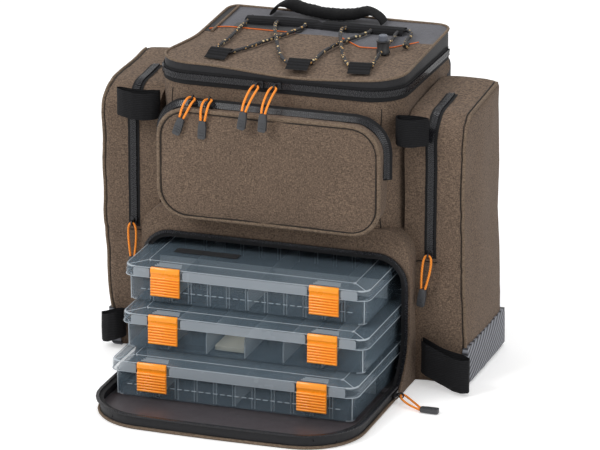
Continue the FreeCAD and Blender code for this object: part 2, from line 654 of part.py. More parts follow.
def flap_plan(name, inset, low, high, rear):
    """The flap's plan outline, drawn in from its edge by an amount."""
    return slab(name, "%s - flap_left" % inset, "flap_right - (%s)" % inset,
                "flap_front + %s" % inset, rear, low, high,
                [("flap_round - (%s)" % inset, (0, 1))])


node("flap_panel", cut(
    "flap_tray", flap_plan("flap_outer", "0", "0", "flap_wall", "flap_rear"),
    flap_plan("flap_hollow", "fabric", "flap_thick", "flap_wall + fabric", "flap_rear + fabric")))
node("flap_zip", cut(
    "flap_zip_band",
    flap_plan("flap_zip_outer", "0", "flap_wall", "flap_wall + 2 * tape", "flap_rear"),
    flap_plan("flap_zip_inner", "tape", "flap_wall - tape", "flap_wall + 3 * tape",
              "flap_rear + fabric")))

# ---------------------------------------------------------------- tackle boxes

STOREY = "box_high + gap"
BOXES = [("bottom", 0), ("middle", 1), ("top", 2)]
for name, storey in BOXES:
    shift, front = "shift_" + name, "front_" + name
    low = "base_thick + gap + %d * (%s)" % (storey, STOREY)
    joint_level = "%s + box_high - box_rim" % low

    def box_plan(part, inset, bottom, top, shift=shift, front=front, name=name):
        """A tackle box's rounded plan outline, drawn in from the lid's edge."""
        return slab(part + "_" + name, "%s - box_long / 2 + %s" % (shift, inset),
                    "%s + box_long / 2 - (%s)" % (shift, inset), "%s + %s" % (front, inset),
                    "%s + box_deep - (%s)" % (front, inset), bottom, top,
                    [("box_round - (%s)" % inset, (0, 1, 2, 3))])

    node("box_tray_" + name, fuse(
        "tray_" + name,
        cut("tray_shell_" + name,
            box_plan("tray_outer", "tray_inset", low, joint_level),
            box_plan("tray_inner", "tray_inset + box_wall", "%s + box_wall" % low,
                     joint_level + " + box_wall")),
        cut("tray_flange_" + name,
            box_plan("flange_outer", "0", joint_level + " - flange_thick", joint_level),
            box_plan("flange_inner", "tray_inset + box_wall / 2",
                     joint_level + " - 2 * flange_thick", joint_level + " + flange_thick"))))
    node("box_lid_" + name, cut(
        "cover_" + name,
        box_plan("cover_outer", "0", joint_level, "%s + box_high" % low),
        box_plan("cover_inner", "box_wall", "%s - box_wall" % joint_level,
                 "%s + box_high - box_wall" % low)))
    for side, sign in (("left", -1), ("right", 1)):
        middle = "%s + (%d) * latch_spread" % (shift, sign)
        node("latch_%s_%s" % (name, side), pad(
            "latch_%s_%s" % (name, side), "YZ_Plane",
            [(front + " - gap - latch_thick", "%s + box_high - latch_high" % low),
             (front + " - gap", "%s + box_high - latch_high" % low),
             (front + " - gap", "%s + box_high" % low),
             (front + " - gap - latch_thick", "%s + box_high" % low)],
            middle + " - latch_wide / 2", "latch_wide", [("latch_thick / 2 - 0.05", (2, 3))]))

# the middle box is divided from front to back; the plates stand on the tray's floor
plates = []
plate_low = "base_thick + gap + %s + box_wall" % STOREY
for count in range(-2, 3):
    across = "shift_middle + (%d) * divider_pitch" % count
    plates.append(box(
        "divider_%d" % (count + 3),
        (across + " - box_wall / 4", "front_middle + tray_inset + box_wall", plate_low),
        (across + " + box_wall / 4", "front_middle + box_deep - tray_inset - box_wall",
         plate_low + " + box_high - box_rim - box_wall - fabric")))
node("box_dividers", *plates)

# ---------------------------------------------------------------- zip sliders and pulls

# facing: axis that points out of the tape and its sense, axis of the chain, axis of the hole
FACINGS = {"front_across": (1, -1, 0, 0), "front_upright": (1, -1, 2, 0),
           "top_across": (2, 1, 0, 0), "side_along": (0, 1, 1, 1)}


def slider(name, place, facing):
    """A zip slider on its tape, with a bored eye for the pull's cord."""
    out, sense, along, hole = FACINGS[facing]
    wide = [axis for axis in range(3) if axis not in (out, along)][0]
    third = [axis for axis in range(3) if axis not in (out, hole)][0]
    half_sizes = {along: "slider_long / 2", wide: "slider_wide / 2"}
    eye_sizes = {hole: "eye_wide / 2", third: "eye_size / 2"}

    def span(start, end, sizes):
        low, high = [], []
        for axis in range(3):
            if axis == out:
                ends = ["%s + (%d) * (%s)" % (place[axis], sense, end_) for end_ in (start, end)]
                low.append(ends[0] if sense > 0 else ends[1])
                high.append(ends[1] if sense > 0 else ends[0])
            else:
                low.append("%s - %s" % (place[axis], sizes[axis]))
                high.append("%s + %s" % (place[axis], sizes[axis]))
        return low, high

    face = "gap + slider_thick"
    middle = list(place)
    middle[out] = "%s + (%d) * (%s + eye_size / 2)" % (place[out], sense, face)
    middle[hole] = "%s - eye_wide" % place[hole]
    return cut(name, fuse(name + "_block",
                          box(name + "_body", *span("gap", face, half_sizes)),
                          box(name + "_eye", *span(face, face + " + eye_size", eye_sizes))),
               rod(name + "_hole", middle, "eye_hole / 2", "2 * eye_wide", "xyz"[hole]))


def both_legs(leg):
    """A leg up to the eye and its mirror image back down, as one route."""
    return leg + [(-across, back, up) for across, back, up in reversed(leg)]


# the pull's cord goes through the eye, and both its legs end in the moulded tip; the
# points are given from the middle of the eye
EYE_OUT = "gap + slider_thick + eye_size / 2"
LID_FACE, SIDE_FACE = "front_face - tape", "side_front - tape"
POCKET_SEAM, POCKET_OVER = "front_face - pocket_deep / 2", "pocket_top + tape"
SIDE_LEVEL = "side_zip_low + slider_long / 2"
LID_ROUTE = both_legs([(-2.2, "-pocket_deep / 2 - 17", -20), (-4.4, "-pocket_deep / 2 - 14.5", -13),
                       (-4.5, -13, -3), (-4.5, 0, 0)])
POCKET_ROUTE = both_legs([(-2.2, "-pocket_deep / 2 - 5", -18), (-4.4, "-pocket_deep / 2 - 4.5", -9),
                          (-4.5, -12, 0), (-4.5, 0, 0)])
SIDE_ROUTE = both_legs([(-2.2, 0, -38), (-4.6, 0.5, -22), (-4.5, 0, 0)])
FLAP_ROUTE = [(27, -20.2, -5.5), (13, -12.5, -5.5), (0, -6.2, 0), (0, 6.2, 0), (13, 0.5, -5.5),
              (27, -15.8, -5.5)]
PULLS = {
    "lid_left": (("-17", LID_FACE, "lid_low"), "front_across", LID_ROUTE),
    "lid_right": (("3", LID_FACE, "lid_low"), "front_across", LID_ROUTE),
    "pocket_left": (("-87", POCKET_SEAM, POCKET_OVER), "top_across", POCKET_ROUTE),
    "pocket_right": (("-68", POCKET_SEAM, POCKET_OVER), "top_across", POCKET_ROUTE),
    "side_left": (("-side_zip_place", SIDE_FACE, SIDE_LEVEL), "front_upright", SIDE_ROUTE),
    "side_right": (("side_zip_place", SIDE_FACE, SIDE_LEVEL), "front_upright", SIDE_ROUTE),
    "flap": (("flap_right", "flap_rear - slider_long / 2 - gap", "flap_wall / 2 + tape"),
             "side_along", FLAP_ROUTE),
}
for name, (place, facing, points) in PULLS.items():
    out, sense, along, hole = FACINGS[facing]
    node("slider_" + name, slider("slider_" + name, place, facing))
    eye = [size(value) for value in place]
    eye[out] += sense * size(EYE_OUT)
    route = [[start + size(step) for start, step in zip(eye, point)] for point in points]
    node("pull_cord_" + name, tube("pull_tube_" + name, route, size("pull_cord")))
    end = [(first + last) / 2 for first, last in zip(route[0], route[-1])]
    # a tip hangs down from its cord, but the flap's lies on the ground beside the flap
    lengths = {0: "tip_wide", 1: "tip_thick", 2: "tip_long"}
    if name == "flap":
        lengths = {0: "tip_long", 1: "tip_wide", 2: "tip_thick"}
    low, high = [], []
    for axis, length in lengths.items():
        shares = (0.5, 0.5)
        if length == "tip_long":
            shares = (0, 1) if name == "flap" else (1, 0)
        low.append("%s - %s * %s" % (end[axis], shares[0], length))
        high.append("%s + %s * %s" % (end[axis], shares[1], length))
    node("pull_tip_" + name, box("tip_" + name, low, high))

# ---------------------------------------------------------------- check and write

doc.recompute()
for item in doc.Objects:
    if "Invalid" in item.State or "Error" in item.State:
        raise RuntimeError("%s failed: %s" % (item.Name, item.State))
os.makedirs("parts", exist_ok=True)
for label, item in nodes.items():
    shape = item.Shape
    if shape.isNull() or not shape.isValid() or not shape.Solids:
        raise RuntimeError("%s has no valid solid" % label)
for label, item in nodes.items():
    item.Shape.exportStep("parts/%s.step" % label)
print("%d sub-parts written" % len(nodes))
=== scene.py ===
import math

import bmesh
import bpy
from mathutils import Matrix, Vector, noise
from mathutils.bvhtree import BVHTree


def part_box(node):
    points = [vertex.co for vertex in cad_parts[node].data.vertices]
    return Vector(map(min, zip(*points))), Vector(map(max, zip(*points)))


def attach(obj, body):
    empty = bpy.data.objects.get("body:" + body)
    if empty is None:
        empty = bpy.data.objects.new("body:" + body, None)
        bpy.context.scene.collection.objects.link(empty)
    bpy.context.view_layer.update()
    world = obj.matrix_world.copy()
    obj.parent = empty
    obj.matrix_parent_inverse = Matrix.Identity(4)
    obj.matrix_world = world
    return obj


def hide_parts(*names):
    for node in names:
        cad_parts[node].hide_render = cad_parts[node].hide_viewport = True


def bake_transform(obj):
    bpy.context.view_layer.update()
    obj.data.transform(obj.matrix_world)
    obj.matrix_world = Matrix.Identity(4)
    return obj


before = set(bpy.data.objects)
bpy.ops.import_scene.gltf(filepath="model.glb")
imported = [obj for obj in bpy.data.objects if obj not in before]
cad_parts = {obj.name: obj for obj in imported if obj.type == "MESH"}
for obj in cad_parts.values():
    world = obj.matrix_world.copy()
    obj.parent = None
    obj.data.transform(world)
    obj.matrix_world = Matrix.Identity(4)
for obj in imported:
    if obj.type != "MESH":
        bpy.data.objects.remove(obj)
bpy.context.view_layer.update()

# ---------------------------------------------------------------------------
# Upper body: the front and sides of the zipped upper compartment, one sheet of
# heathered polyester that wraps round both front corners.  It is cut wider at
# the bottom, where it joins the lower compartment, and its walls fill out a little.
# Everything is modelled in millimetres and scaled to metres when it is finished.


def linear(code):
    """A colour written as sRGB hex, as the linear values that a shader takes."""
    parts = [int(code[i:i + 2], 16) / 255 for i in (1, 3, 5)]
    return [p / 12.92 if p <= 0.04045 else ((p + 0.055) / 1.055) ** 2.4 for p in parts] + [1.0]


def feed(tree, node, inputs):
    """Gives a node's inputs a value each, or links them to another node's socket."""
    for name, value in inputs.items():
        if isinstance(value, bpy.types.NodeSocket):
            tree.links.new(value, node.inputs[name])
        else:
            node.inputs[name].default_value = value


def add(tree, kind, inputs=None, **settings):
    """Adds a node with its settings; each input is a value or another node's socket."""
    node = tree.nodes.new(kind)
    for name, value in settings.items():
        setattr(node, name, value)
    feed(tree, node, inputs or {})
    return node


def start_material(name):
    """A new node material and its Principled shader."""
    material = bpy.data.materials.new(name)
    material.use_nodes = True
    return material, material.node_tree, material.node_tree.nodes["Principled BSDF"]


def threads(tree, along, across, axes):
    """Noise drawn out into threads: their length, their thickness and their direction, in mm."""
    coordinates = add(tree, "ShaderNodeTexCoord")
    scale = [1000 / (along if axis in axes else across) for axis in "xyz"]
    placed = add(tree, "ShaderNodeMapping", {"Vector": coordinates.outputs["Object"],
                                             "Scale": scale})
    return add(tree, "ShaderNodeTexNoise", {"Vector": placed.outputs["Vector"], "Scale": 1.0,
                                            "Detail": 2.0, "Roughness": 0.6}).outputs["Fac"]


def heather(name, dark, middle, light, rough=0.92):
    """Heathered polyester: fine crossing threads of three close browns, matt and a little fuzzy.

    The real threads are about 0.4 mm; they are drawn about twice as coarse so that they show.
    """
    material, tree, shader = start_material(name)
    weft = threads(tree, 2.8, 0.55, "xy")
    warp = threads(tree, 2.4, 0.55, "z")
    both = add(tree, "ShaderNodeMath", {0: weft, 1: warp}, operation="ADD")
    half = add(tree, "ShaderNodeMath", {0: both.outputs[0], 1: 0.5}, operation="MULTIPLY")
    ramp = add(tree, "ShaderNodeValToRGB", {"Fac": half.outputs[0]})
    ramp.color_ramp.elements[0].position = 0.36
    ramp.color_ramp.elements[0].color = linear(dark)
    ramp.color_ramp.elements[1].position = 0.66
    ramp.color_ramp.elements[1].color = linear(light)
    ramp.color_ramp.elements.new(0.5).color = linear(middle)
    coordinates = add(tree, "ShaderNodeTexCoord")
    cloud = add(tree, "ShaderNodeTexNoise", {"Vector": coordinates.outputs["Object"],
                                             "Scale": 14.0, "Detail": 3.0})
    shade = add(tree, "ShaderNodeMapRange", {"Value": cloud.outputs["Fac"], "From Min": 0.3,
                                             "From Max": 0.7, "To Min": 0.93, "To Max": 1.07})
    tint = add(tree, "ShaderNodeVectorMath", {0: ramp.outputs["Color"],
                                              1: shade.outputs["Result"]}, operation="MULTIPLY")
    bump = add(tree, "ShaderNodeBump", {"Height": half.outputs[0], "Strength": 0.5,
                                        "Distance": 0.0006})
    feed(tree, shader, {"Base Color": tint.outputs["Vector"], "Normal": bump.outputs["Normal"],
                        "Roughness": rough, "Specular IOR Level": 0.25, "Sheen Weight": 0.04,
                        "Sheen Roughness": 0.5})
    return material


brown_cloth = heather("heathered_polyester", "#3f342a", "#66564a", "#8a7561")


def cad(node):
    """The lowest and highest corners of a CAD node, in millimetres."""
    low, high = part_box(node)
    return low * 1000, high * 1000


def outline(bm, corners, rounds=(), steps=7):
    """A flat face with some of its corners rounded; rounds are pairs of radius and numbers."""
    verts = [bm.verts.new(corner) for corner in corners]
    bm.faces.new(verts)
    for radius, numbers in rounds:
        bmesh.ops.bevel(bm, geom=[verts[i] for i in numbers], offset=radius, offset_type="OFFSET",
                        segments=steps, profile=0.5, affect="VERTICES", material=-1,
                        clamp_overlap=False)
    bm.faces.ensure_lookup_table()
    return bm.faces[-1]


def plan_box(x0, y0, x1, y1, level=0):
    """The corners of an oblong that lies flat at a level."""
    return [(x0, y0, level), (x1, y0, level), (x1, y1, level), (x0, y1, level)]


def front_box(x0, z0, x1, z1, depth):
    """The corners of an upright oblong that faces the front at a depth."""
    return [(x0, depth, z0), (x1, depth, z0), (x1, depth, z1), (x0, depth, z1)]


def raise_face(bm, face, move):
    """Extrudes a face along a vector and returns the new face's vertices."""
    grown = bmesh.ops.extrude_face_region(bm, geom=[face])["geom"]
    verts = [item for item in grown if isinstance(item, bmesh.types.BMVert)]
    bmesh.ops.translate(bm, vec=move, verts=verts)
    return verts


def extents(bm):
    """The lowest and highest corners of a mesh that is being made."""
    low = Vector([min(v.co[i] for v in bm.verts) for i in range(3)])
    high = Vector([max(v.co[i] for v in bm.verts) for i in range(3)])
    return low, high


def cells(bm, step, axes=(0, 1, 2)):
    """Cuts a shape into cells about a step wide, so that it can bend."""
    low, high = extents(bm)
    for axis in axes:
        count = int((high[axis] - low[axis]) / step)
        for k in range(1, count + 1):
            place = Vector((0, 0, 0))
            place[axis] = low[axis] + (high[axis] - low[axis]) * k / (count + 1)
            facing = Vector((0, 0, 0))
            facing[axis] = 1
            bmesh.ops.bisect_plane(bm, geom=bm.verts[:] + bm.edges[:] + bm.faces[:], dist=1e-4,
                                   plane_co=place, plane_no=facing)


def surface_swell(place, low, high, swell):
    """Where a point between two corners goes when the sides bulge, most in their middles."""
    middle, half = (low + high) / 2, (high - low) / 2
    share = [(place[i] - middle[i]) / half[i] for i in range(3)]
    moved = place.copy()
    for axis in range(3):
        others = [1 - share[i] ** 4 for i in range(3) if i != axis]
        moved[axis] += swell[axis] * share[axis] ** 3 * others[0] * others[1]
    return moved


def fill_out(bm, swell):
    """Each side of a soft piece bulges by an amount per axis."""
    low, high = extents(bm)
    for vert in bm.verts:
        vert.co = surface_swell(vert.co, low, high, swell)


def crease(bm, deep, wide, seed=0.0):
    """Soft irregular folds: vertices move along their normals by smooth noise."""
    bm.normal_update()
    for vert in bm.verts:
        place = vert.co / wide + Vector((seed, seed * 1.7, seed * 0.6))
        fine = noise.noise(place * 2.7) * 0.35
        vert.co += vert.normal * deep * (noise.noise(place) + fine)


def thicken(bm, thick):
    """Gives a sheet its thickness."""
    bmesh.ops.solidify(bm, geom=bm.faces[:], thickness=thick)


def show(name, data):
    """Puts an object with this mesh, curve, lamp or camera in the scene."""
    item = bpy.data.objects.new(name, data)
    bpy.context.scene.collection.objects.link(item)
    return item


def piece(name, bm, material, body, slot, *replaced, smooth=40):
    """Makes the finished object from a mesh in millimetres, and lets it ride on its body."""
    bmesh.ops.remove_doubles(bm, verts=bm.verts[:], dist=0.005)
    bmesh.ops.recalc_face_normals(bm, faces=bm.faces[:])
    bmesh.ops.scale(bm, vec=(0.001, 0.001, 0.001), verts=bm.verts[:])
    mesh = bpy.data.meshes.new(name)
    bm.to_mesh(mesh)
    bm.free()
    mesh.shade_smooth()
    mesh.set_sharp_from_angle(angle=math.radians(smooth))
    item = show(name, mesh)
    for one in (material if isinstance(material, (list, tuple)) else [material]):
        mesh.materials.append(one)
    if body:
        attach(item, body)
    if replaced:
        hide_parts(*replaced)
    return item


wall_low, wall_high = cad("front_panel")
back_low, back_high = cad("back_panel")
HALF = wall_high.x
FRONT = wall_low.y
RIM = wall_high.z
WAIST = wall_low.z
SEAM_ACROSS = 127
BODY_ROUND = 38          # radius of both front corners in plan
TUCK = 4                 # how far the cloth runs on below the upper body and behind its sides


def ease(value):
    """A share from 0 to 1 that starts and ends gently."""
    value = max(0.0, min(1.0, value))
    return value * value * (3 - 2 * value)


bm = bmesh.new()
sheet_face = outline(bm, plan_box(-HALF, FRONT, HALF, back_low.y + TUCK, WAIST - TUCK),
                     [(BODY_ROUND, (0, 1))])
raise_face(bm, sheet_face, (0, 0, RIM - WAIST + TUCK))
bm.normal_update()
bmesh.ops.delete(bm, geom=[f for f in bm.faces if abs(f.normal.z) > 0.9 or f.normal.y > 0.9],
                 context="FACES")
cells(bm, 9)
flat = [vert.co.copy() for vert in bm.verts]
for vert in bm.verts:
    flare = max(0.0, min(1.0, (WAIST + 30 - vert.co.z) / 34)) * ease((50 - vert.co.y) / 40)
    vert.co.x *= 1 + 0.105 * flare * flare
    level = (vert.co.z - WAIST) / (RIM - WAIST)
    fullness = math.sin(math.pi * max(0, min(1, level)))
    front_share = max(0.0, min(1.0, (FRONT + 30 - vert.co.y) / 26))
    vert.co.y -= 2.0 * fullness * front_share
    # the cloth is gathered below the rim, and drawn in at the corner seams
    roll = math.exp(-((vert.co.z - RIM + 24) / 7) ** 2)
    vert.co.y -= 3.0 * roll * front_share
    near_seam = math.exp(-((abs(vert.co.x) - SEAM_ACROSS) / 5) ** 2)
    vert.co.y += 1.6 * near_seam * front_share
    rear = max(0.0, min(1.0, (vert.co.y + 50) / 60))
    slant = math.sin(vert.co.z * 0.16 + vert.co.y * 0.11) * ease(level * 1.6 - 0.4)
    vert.co.x += math.copysign(1.7, vert.co.x) * slant * rear
crease(bm, 2.0, 40, 3.0)
for vert, place in zip(bm.verts, flat):
    # the zip tape holds the rim straight
    vert.co = vert.co.lerp(place, ease((place.z - RIM + 19) / 9))
bmesh.ops.recalc_face_normals(bm, faces=bm.faces[:])
body_skin = BVHTree.FromBMesh(bm)
thicken(bm, 2.0)
piece("upper_body_cloth", bm, brown_cloth, "root", "heather_fabric", "front_panel", "side_walls",
      smooth=60)

# ---------------------------------------------------------------------------
# Lower compartment: the same cloth round the arched opening for the boxes.  Its
# sides run forward from the side pockets, and near the ground their edges curve
# on to the flap's hinge line.  The inside is lined with smooth black polyester.


def satin(name, colour, rough, thread=1.2, deep=0.0003, sheen=0.1, spec=0.3):
    """Plain woven polyester with a low gloss; the weave shows as fine crossing lines."""
    material, tree, shader = start_material(name)
    weft = threads(tree, thread * 5, thread, "xy")
    warp = threads(tree, thread * 5, thread, "z")
    both = add(tree, "ShaderNodeMath", {0: weft, 1: warp}, operation="ADD")
    shade = add(tree, "ShaderNodeMapRange", {"Value": both.outputs[0], "From Min": 0.7,
                                             "From Max": 1.3, "To Min": 0.7, "To Max": 1.3})
    tint = add(tree, "ShaderNodeVectorMath", {0: linear(colour)[:3],
                                              1: shade.outputs["Result"]}, operation="MULTIPLY")
    bump = add(tree, "ShaderNodeBump", {"Height": both.outputs[0], "Strength": 0.5,
                                        "Distance": deep})
    feed(tree, shader, {"Base Color": tint.outputs["Vector"], "Normal": bump.outputs["Normal"],
                        "Roughness": rough, "Specular IOR Level": spec, "Sheen Weight": sheen})
    return material


lining = satin("coated_lining", "#2b272a", 0.5, 2.0)
arch_low, arch_high = cad("compartment_surround")
OPEN_HALF = arch_high.x - 6
OPEN_TOP = arch_high.z - 6
EDGE_FRONT = arch_low.y
CURVE_TOP = 62
ARCH_ROUND = 30          # radius of the opening's upper corners
ARCH_DEEP = 62           # how far back the cloth runs from the opening


def edge_front(height):
    """How far forward the opening's edge stands at a height: it curves out near the ground."""
    rise = max(0.0, 1 - height / CURVE_TOP)
    return FRONT + (EDGE_FRONT - FRONT) * rise ** 2.2


bm = bmesh.new()
hole = outline(bm, front_box(-OPEN_HALF, 1, OPEN_HALF, OPEN_TOP, FRONT),
               [(ARCH_ROUND, (2, 3))], 9)
hole_edges = list(hole.edges)
rim = outline(bm, front_box(-OPEN_HALF - 5, 0, OPEN_HALF + 5, WAIST + 22, FRONT),
              [(ARCH_ROUND, (2, 3))], 9)
rim_edges = list(rim.edges)
bmesh.ops.delete(bm, geom=[hole, rim], context="FACES_ONLY")
bmesh.ops.bridge_loops(bm, edges=hole_edges + rim_edges)
back_edges = bmesh.ops.extrude_edge_only(bm, edges=rim_edges)["geom"]
bmesh.ops.translate(bm, vec=(0, ARCH_DEEP, 0),
                    verts=[g for g in back_edges if isinstance(g, bmesh.types.BMVert)])
cells(bm, 8)
for vert in bm.verts:
    nearness = max(0.0, min(1.0, (FRONT + ARCH_DEEP - vert.co.y) / ARCH_DEEP))
    vert.co.y += (edge_front(vert.co.z) - FRONT) * nearness
    if vert.co.y < FRONT + 4:
        above = max(0.0, (vert.co.z - OPEN_TOP) / 26)
        vert.co.y -= 3.5 * ease((vert.co.z - OPEN_TOP + 40) / 34) * max(0.0, 1 - above)
crease(bm, 1.1, 30, 8.0)
for vert in bm.verts:
    vert.co.z = max(vert.co.z, 1.0)
thicken(bm, 1.6)
for vert in bm.verts:
    vert.co.z = max(vert.co.z, 0.2)
piece("lower_body_cloth", bm, brown_cloth, "root", "heather_fabric", "compartment_surround",
      smooth=60)

# the lining: the compartment's roof, its inner sides and its back, all seen past the boxes
bm = bmesh.new()
room = outline(bm, front_box(-OPEN_HALF + 1, 6, OPEN_HALF - 1, OPEN_TOP - 1, FRONT + 3),
               [(26, (2, 3))])
raise_face(bm, room, (0, back_low.y - FRONT - 3.5, 0))
bm.normal_update()
bmesh.ops.delete(bm, geom=[f for f in bm.faces if f.calc_center_median().y < FRONT + 4
                           or f.calc_center_median().z < 7], context="FACES")
cells(bm, 14)
crease(bm, 0.4, 40, 5.0)
bmesh.ops.recalc_face_normals(bm, faces=bm.faces[:])
thicken(bm, -0.5)
piece("compartment_lining", bm, lining, "root", "lining", "shelf_panel", smooth=60)

# ---------------------------------------------------------------------------
# Front pocket: a shallow box of the same cloth with a piped edge all round its
# face.  The face is padded by what is inside, and sags a little below the middle.


def run_length(points, closed=False):
    """A path's points with the length up to each of them."""
    total, lengths = 0.0, [0.0]
    ends = points[1:] + points[:1] if closed else points[1:]
    for a, b in zip(points, ends):
        total += (b - a).length
        lengths.append(total)
    return lengths


def spaced(points, step, closed=False):
    """The same path with its points a step apart."""
    lengths = run_length(points, closed)
    loop = points + points[:1] if closed else points
    count = max(2, round(lengths[-1] / step))
    result, k = [], 0
    for i in range(count + (0 if closed else 1)):
        goal = lengths[-1] * i / count
        while k < len(lengths) - 2 and lengths[k + 1] < goal:
            k += 1
        span = lengths[k + 1] - lengths[k]
        result.append(loop[k].lerp(loop[k + 1], (goal - lengths[k]) / span if span else 0))
    return result


def welt(name, points, radius, material, body, closed=False):
    """Piping: a cord sewn into the seam, as a tube that follows the seam's points."""
    curve = bpy.data.curves.new(name, "CURVE")
    curve.dimensions = "3D"
    line = curve.splines.new("POLY")
    line.points.add(len(points) - 1)
    for point, place in zip(line.points, points):
        point.co = (*(place * 0.001), 1)
    line.use_cyclic_u = closed
    curve.bevel_depth = radius * 0.001
    curve.bevel_resolution = 2
    curve.use_fill_caps = True
    holder = bpy.data.objects.new(name, curve)
    mesh = bpy.data.meshes.new_from_object(holder)
    bpy.data.objects.remove(holder)
    mesh.shade_smooth()
    item = show(name, mesh)
    mesh.materials.clear()
    mesh.materials.append(material)
    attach(item, body)
    return item


def soften(bm, edges, offset, segments):
    """Rounds some of a shape's edges."""
    bmesh.ops.bevel(bm, geom=edges, offset=offset, segments=segments, profile=0.5,
                    affect="EDGES", material=-1, clamp_overlap=True)


piping = heather("piped_edge", "#4a3d32", "#6f5f50", "#8e7b68")
dark_seam = satin("seam_thread", "#241e19", 0.9)
pocket_low, pocket_high = cad("front_pocket")
POCKET_ROUND = 30        # radius of the front pocket's corners
bm = bmesh.new()
pocket_face = outline(bm, front_box(pocket_low.x, pocket_low.z, pocket_high.x, pocket_high.z,
                                    pocket_low.y), [(POCKET_ROUND, (0, 1, 2, 3))], 9)
pocket_edge = [vert.co.copy() for vert in pocket_face.verts]
raise_face(bm, pocket_face, (0, pocket_high.y - pocket_low.y - 0.5, 0))
front_edges = [e for e in bm.edges
               if all(abs(v.co.y - pocket_low.y) < 0.01 for v in e.verts)]
soften(bm, front_edges, 2.5, 2)
cells(bm, 8)
fill_out(bm, Vector((1.5, 5.5, 1.5)))
for vert in bm.verts:
    vert.co.y = min(vert.co.y, pocket_high.y - 0.4)
crease(bm, 1.0, 38, 1.0)
piece("front_pocket_cloth", bm, brown_cloth, "root", "heather_fabric", "front_pocket", smooth=60)
edge_path = [surface_swell(place + Vector((0, 0.9, 0)), pocket_low, pocket_high,
                           Vector((1.5, 1.5, 1.5))) for place in spaced(pocket_edge, 6, True)]
welt("front_pocket_piping", edge_path, 2.3, piping, "root", True)
inner_edge = []
pocket_middle = (pocket_low + pocket_high) / 2
for place in edge_path:
    toward = pocket_middle - place
    toward.y = 0
    inner_edge.append(place + toward.normalized() * 3.0 + Vector((0, -1.4, 0)))
welt("front_pocket_seam", inner_edge, 0.8, dark_seam, "root", True)


def laid_on(skin, points, lift):
    """Points moved on to the nearest place of a surface, and lifted off it a little."""
    result = []
    for place in points:
        spot, face, number, gap = skin.find_nearest(place)
        toward = face if face.dot(place - spot) >= 0 or gap < 0.5 else -face
        result.append(spot + toward * lift)
    return result


# an upright seam runs down the body near each front corner
for side, across in (("left", -SEAM_ACROSS), ("right", SEAM_ACROSS)):
    upright = spaced([Vector((across, FRONT - 12, WAIST + 8)),
                      Vector((across, FRONT - 12, RIM - 10))], 5)
    welt("body_seam_" + side, laid_on(body_skin, upright, 0.3), 0.6, dark_seam, "root")

# ---------------------------------------------------------------------------
# Side pockets: tall bags on both sides of the pack, rounded over above, with a
# piped front edge, a cross seam below the zip and a ribbed guard at the bottom.

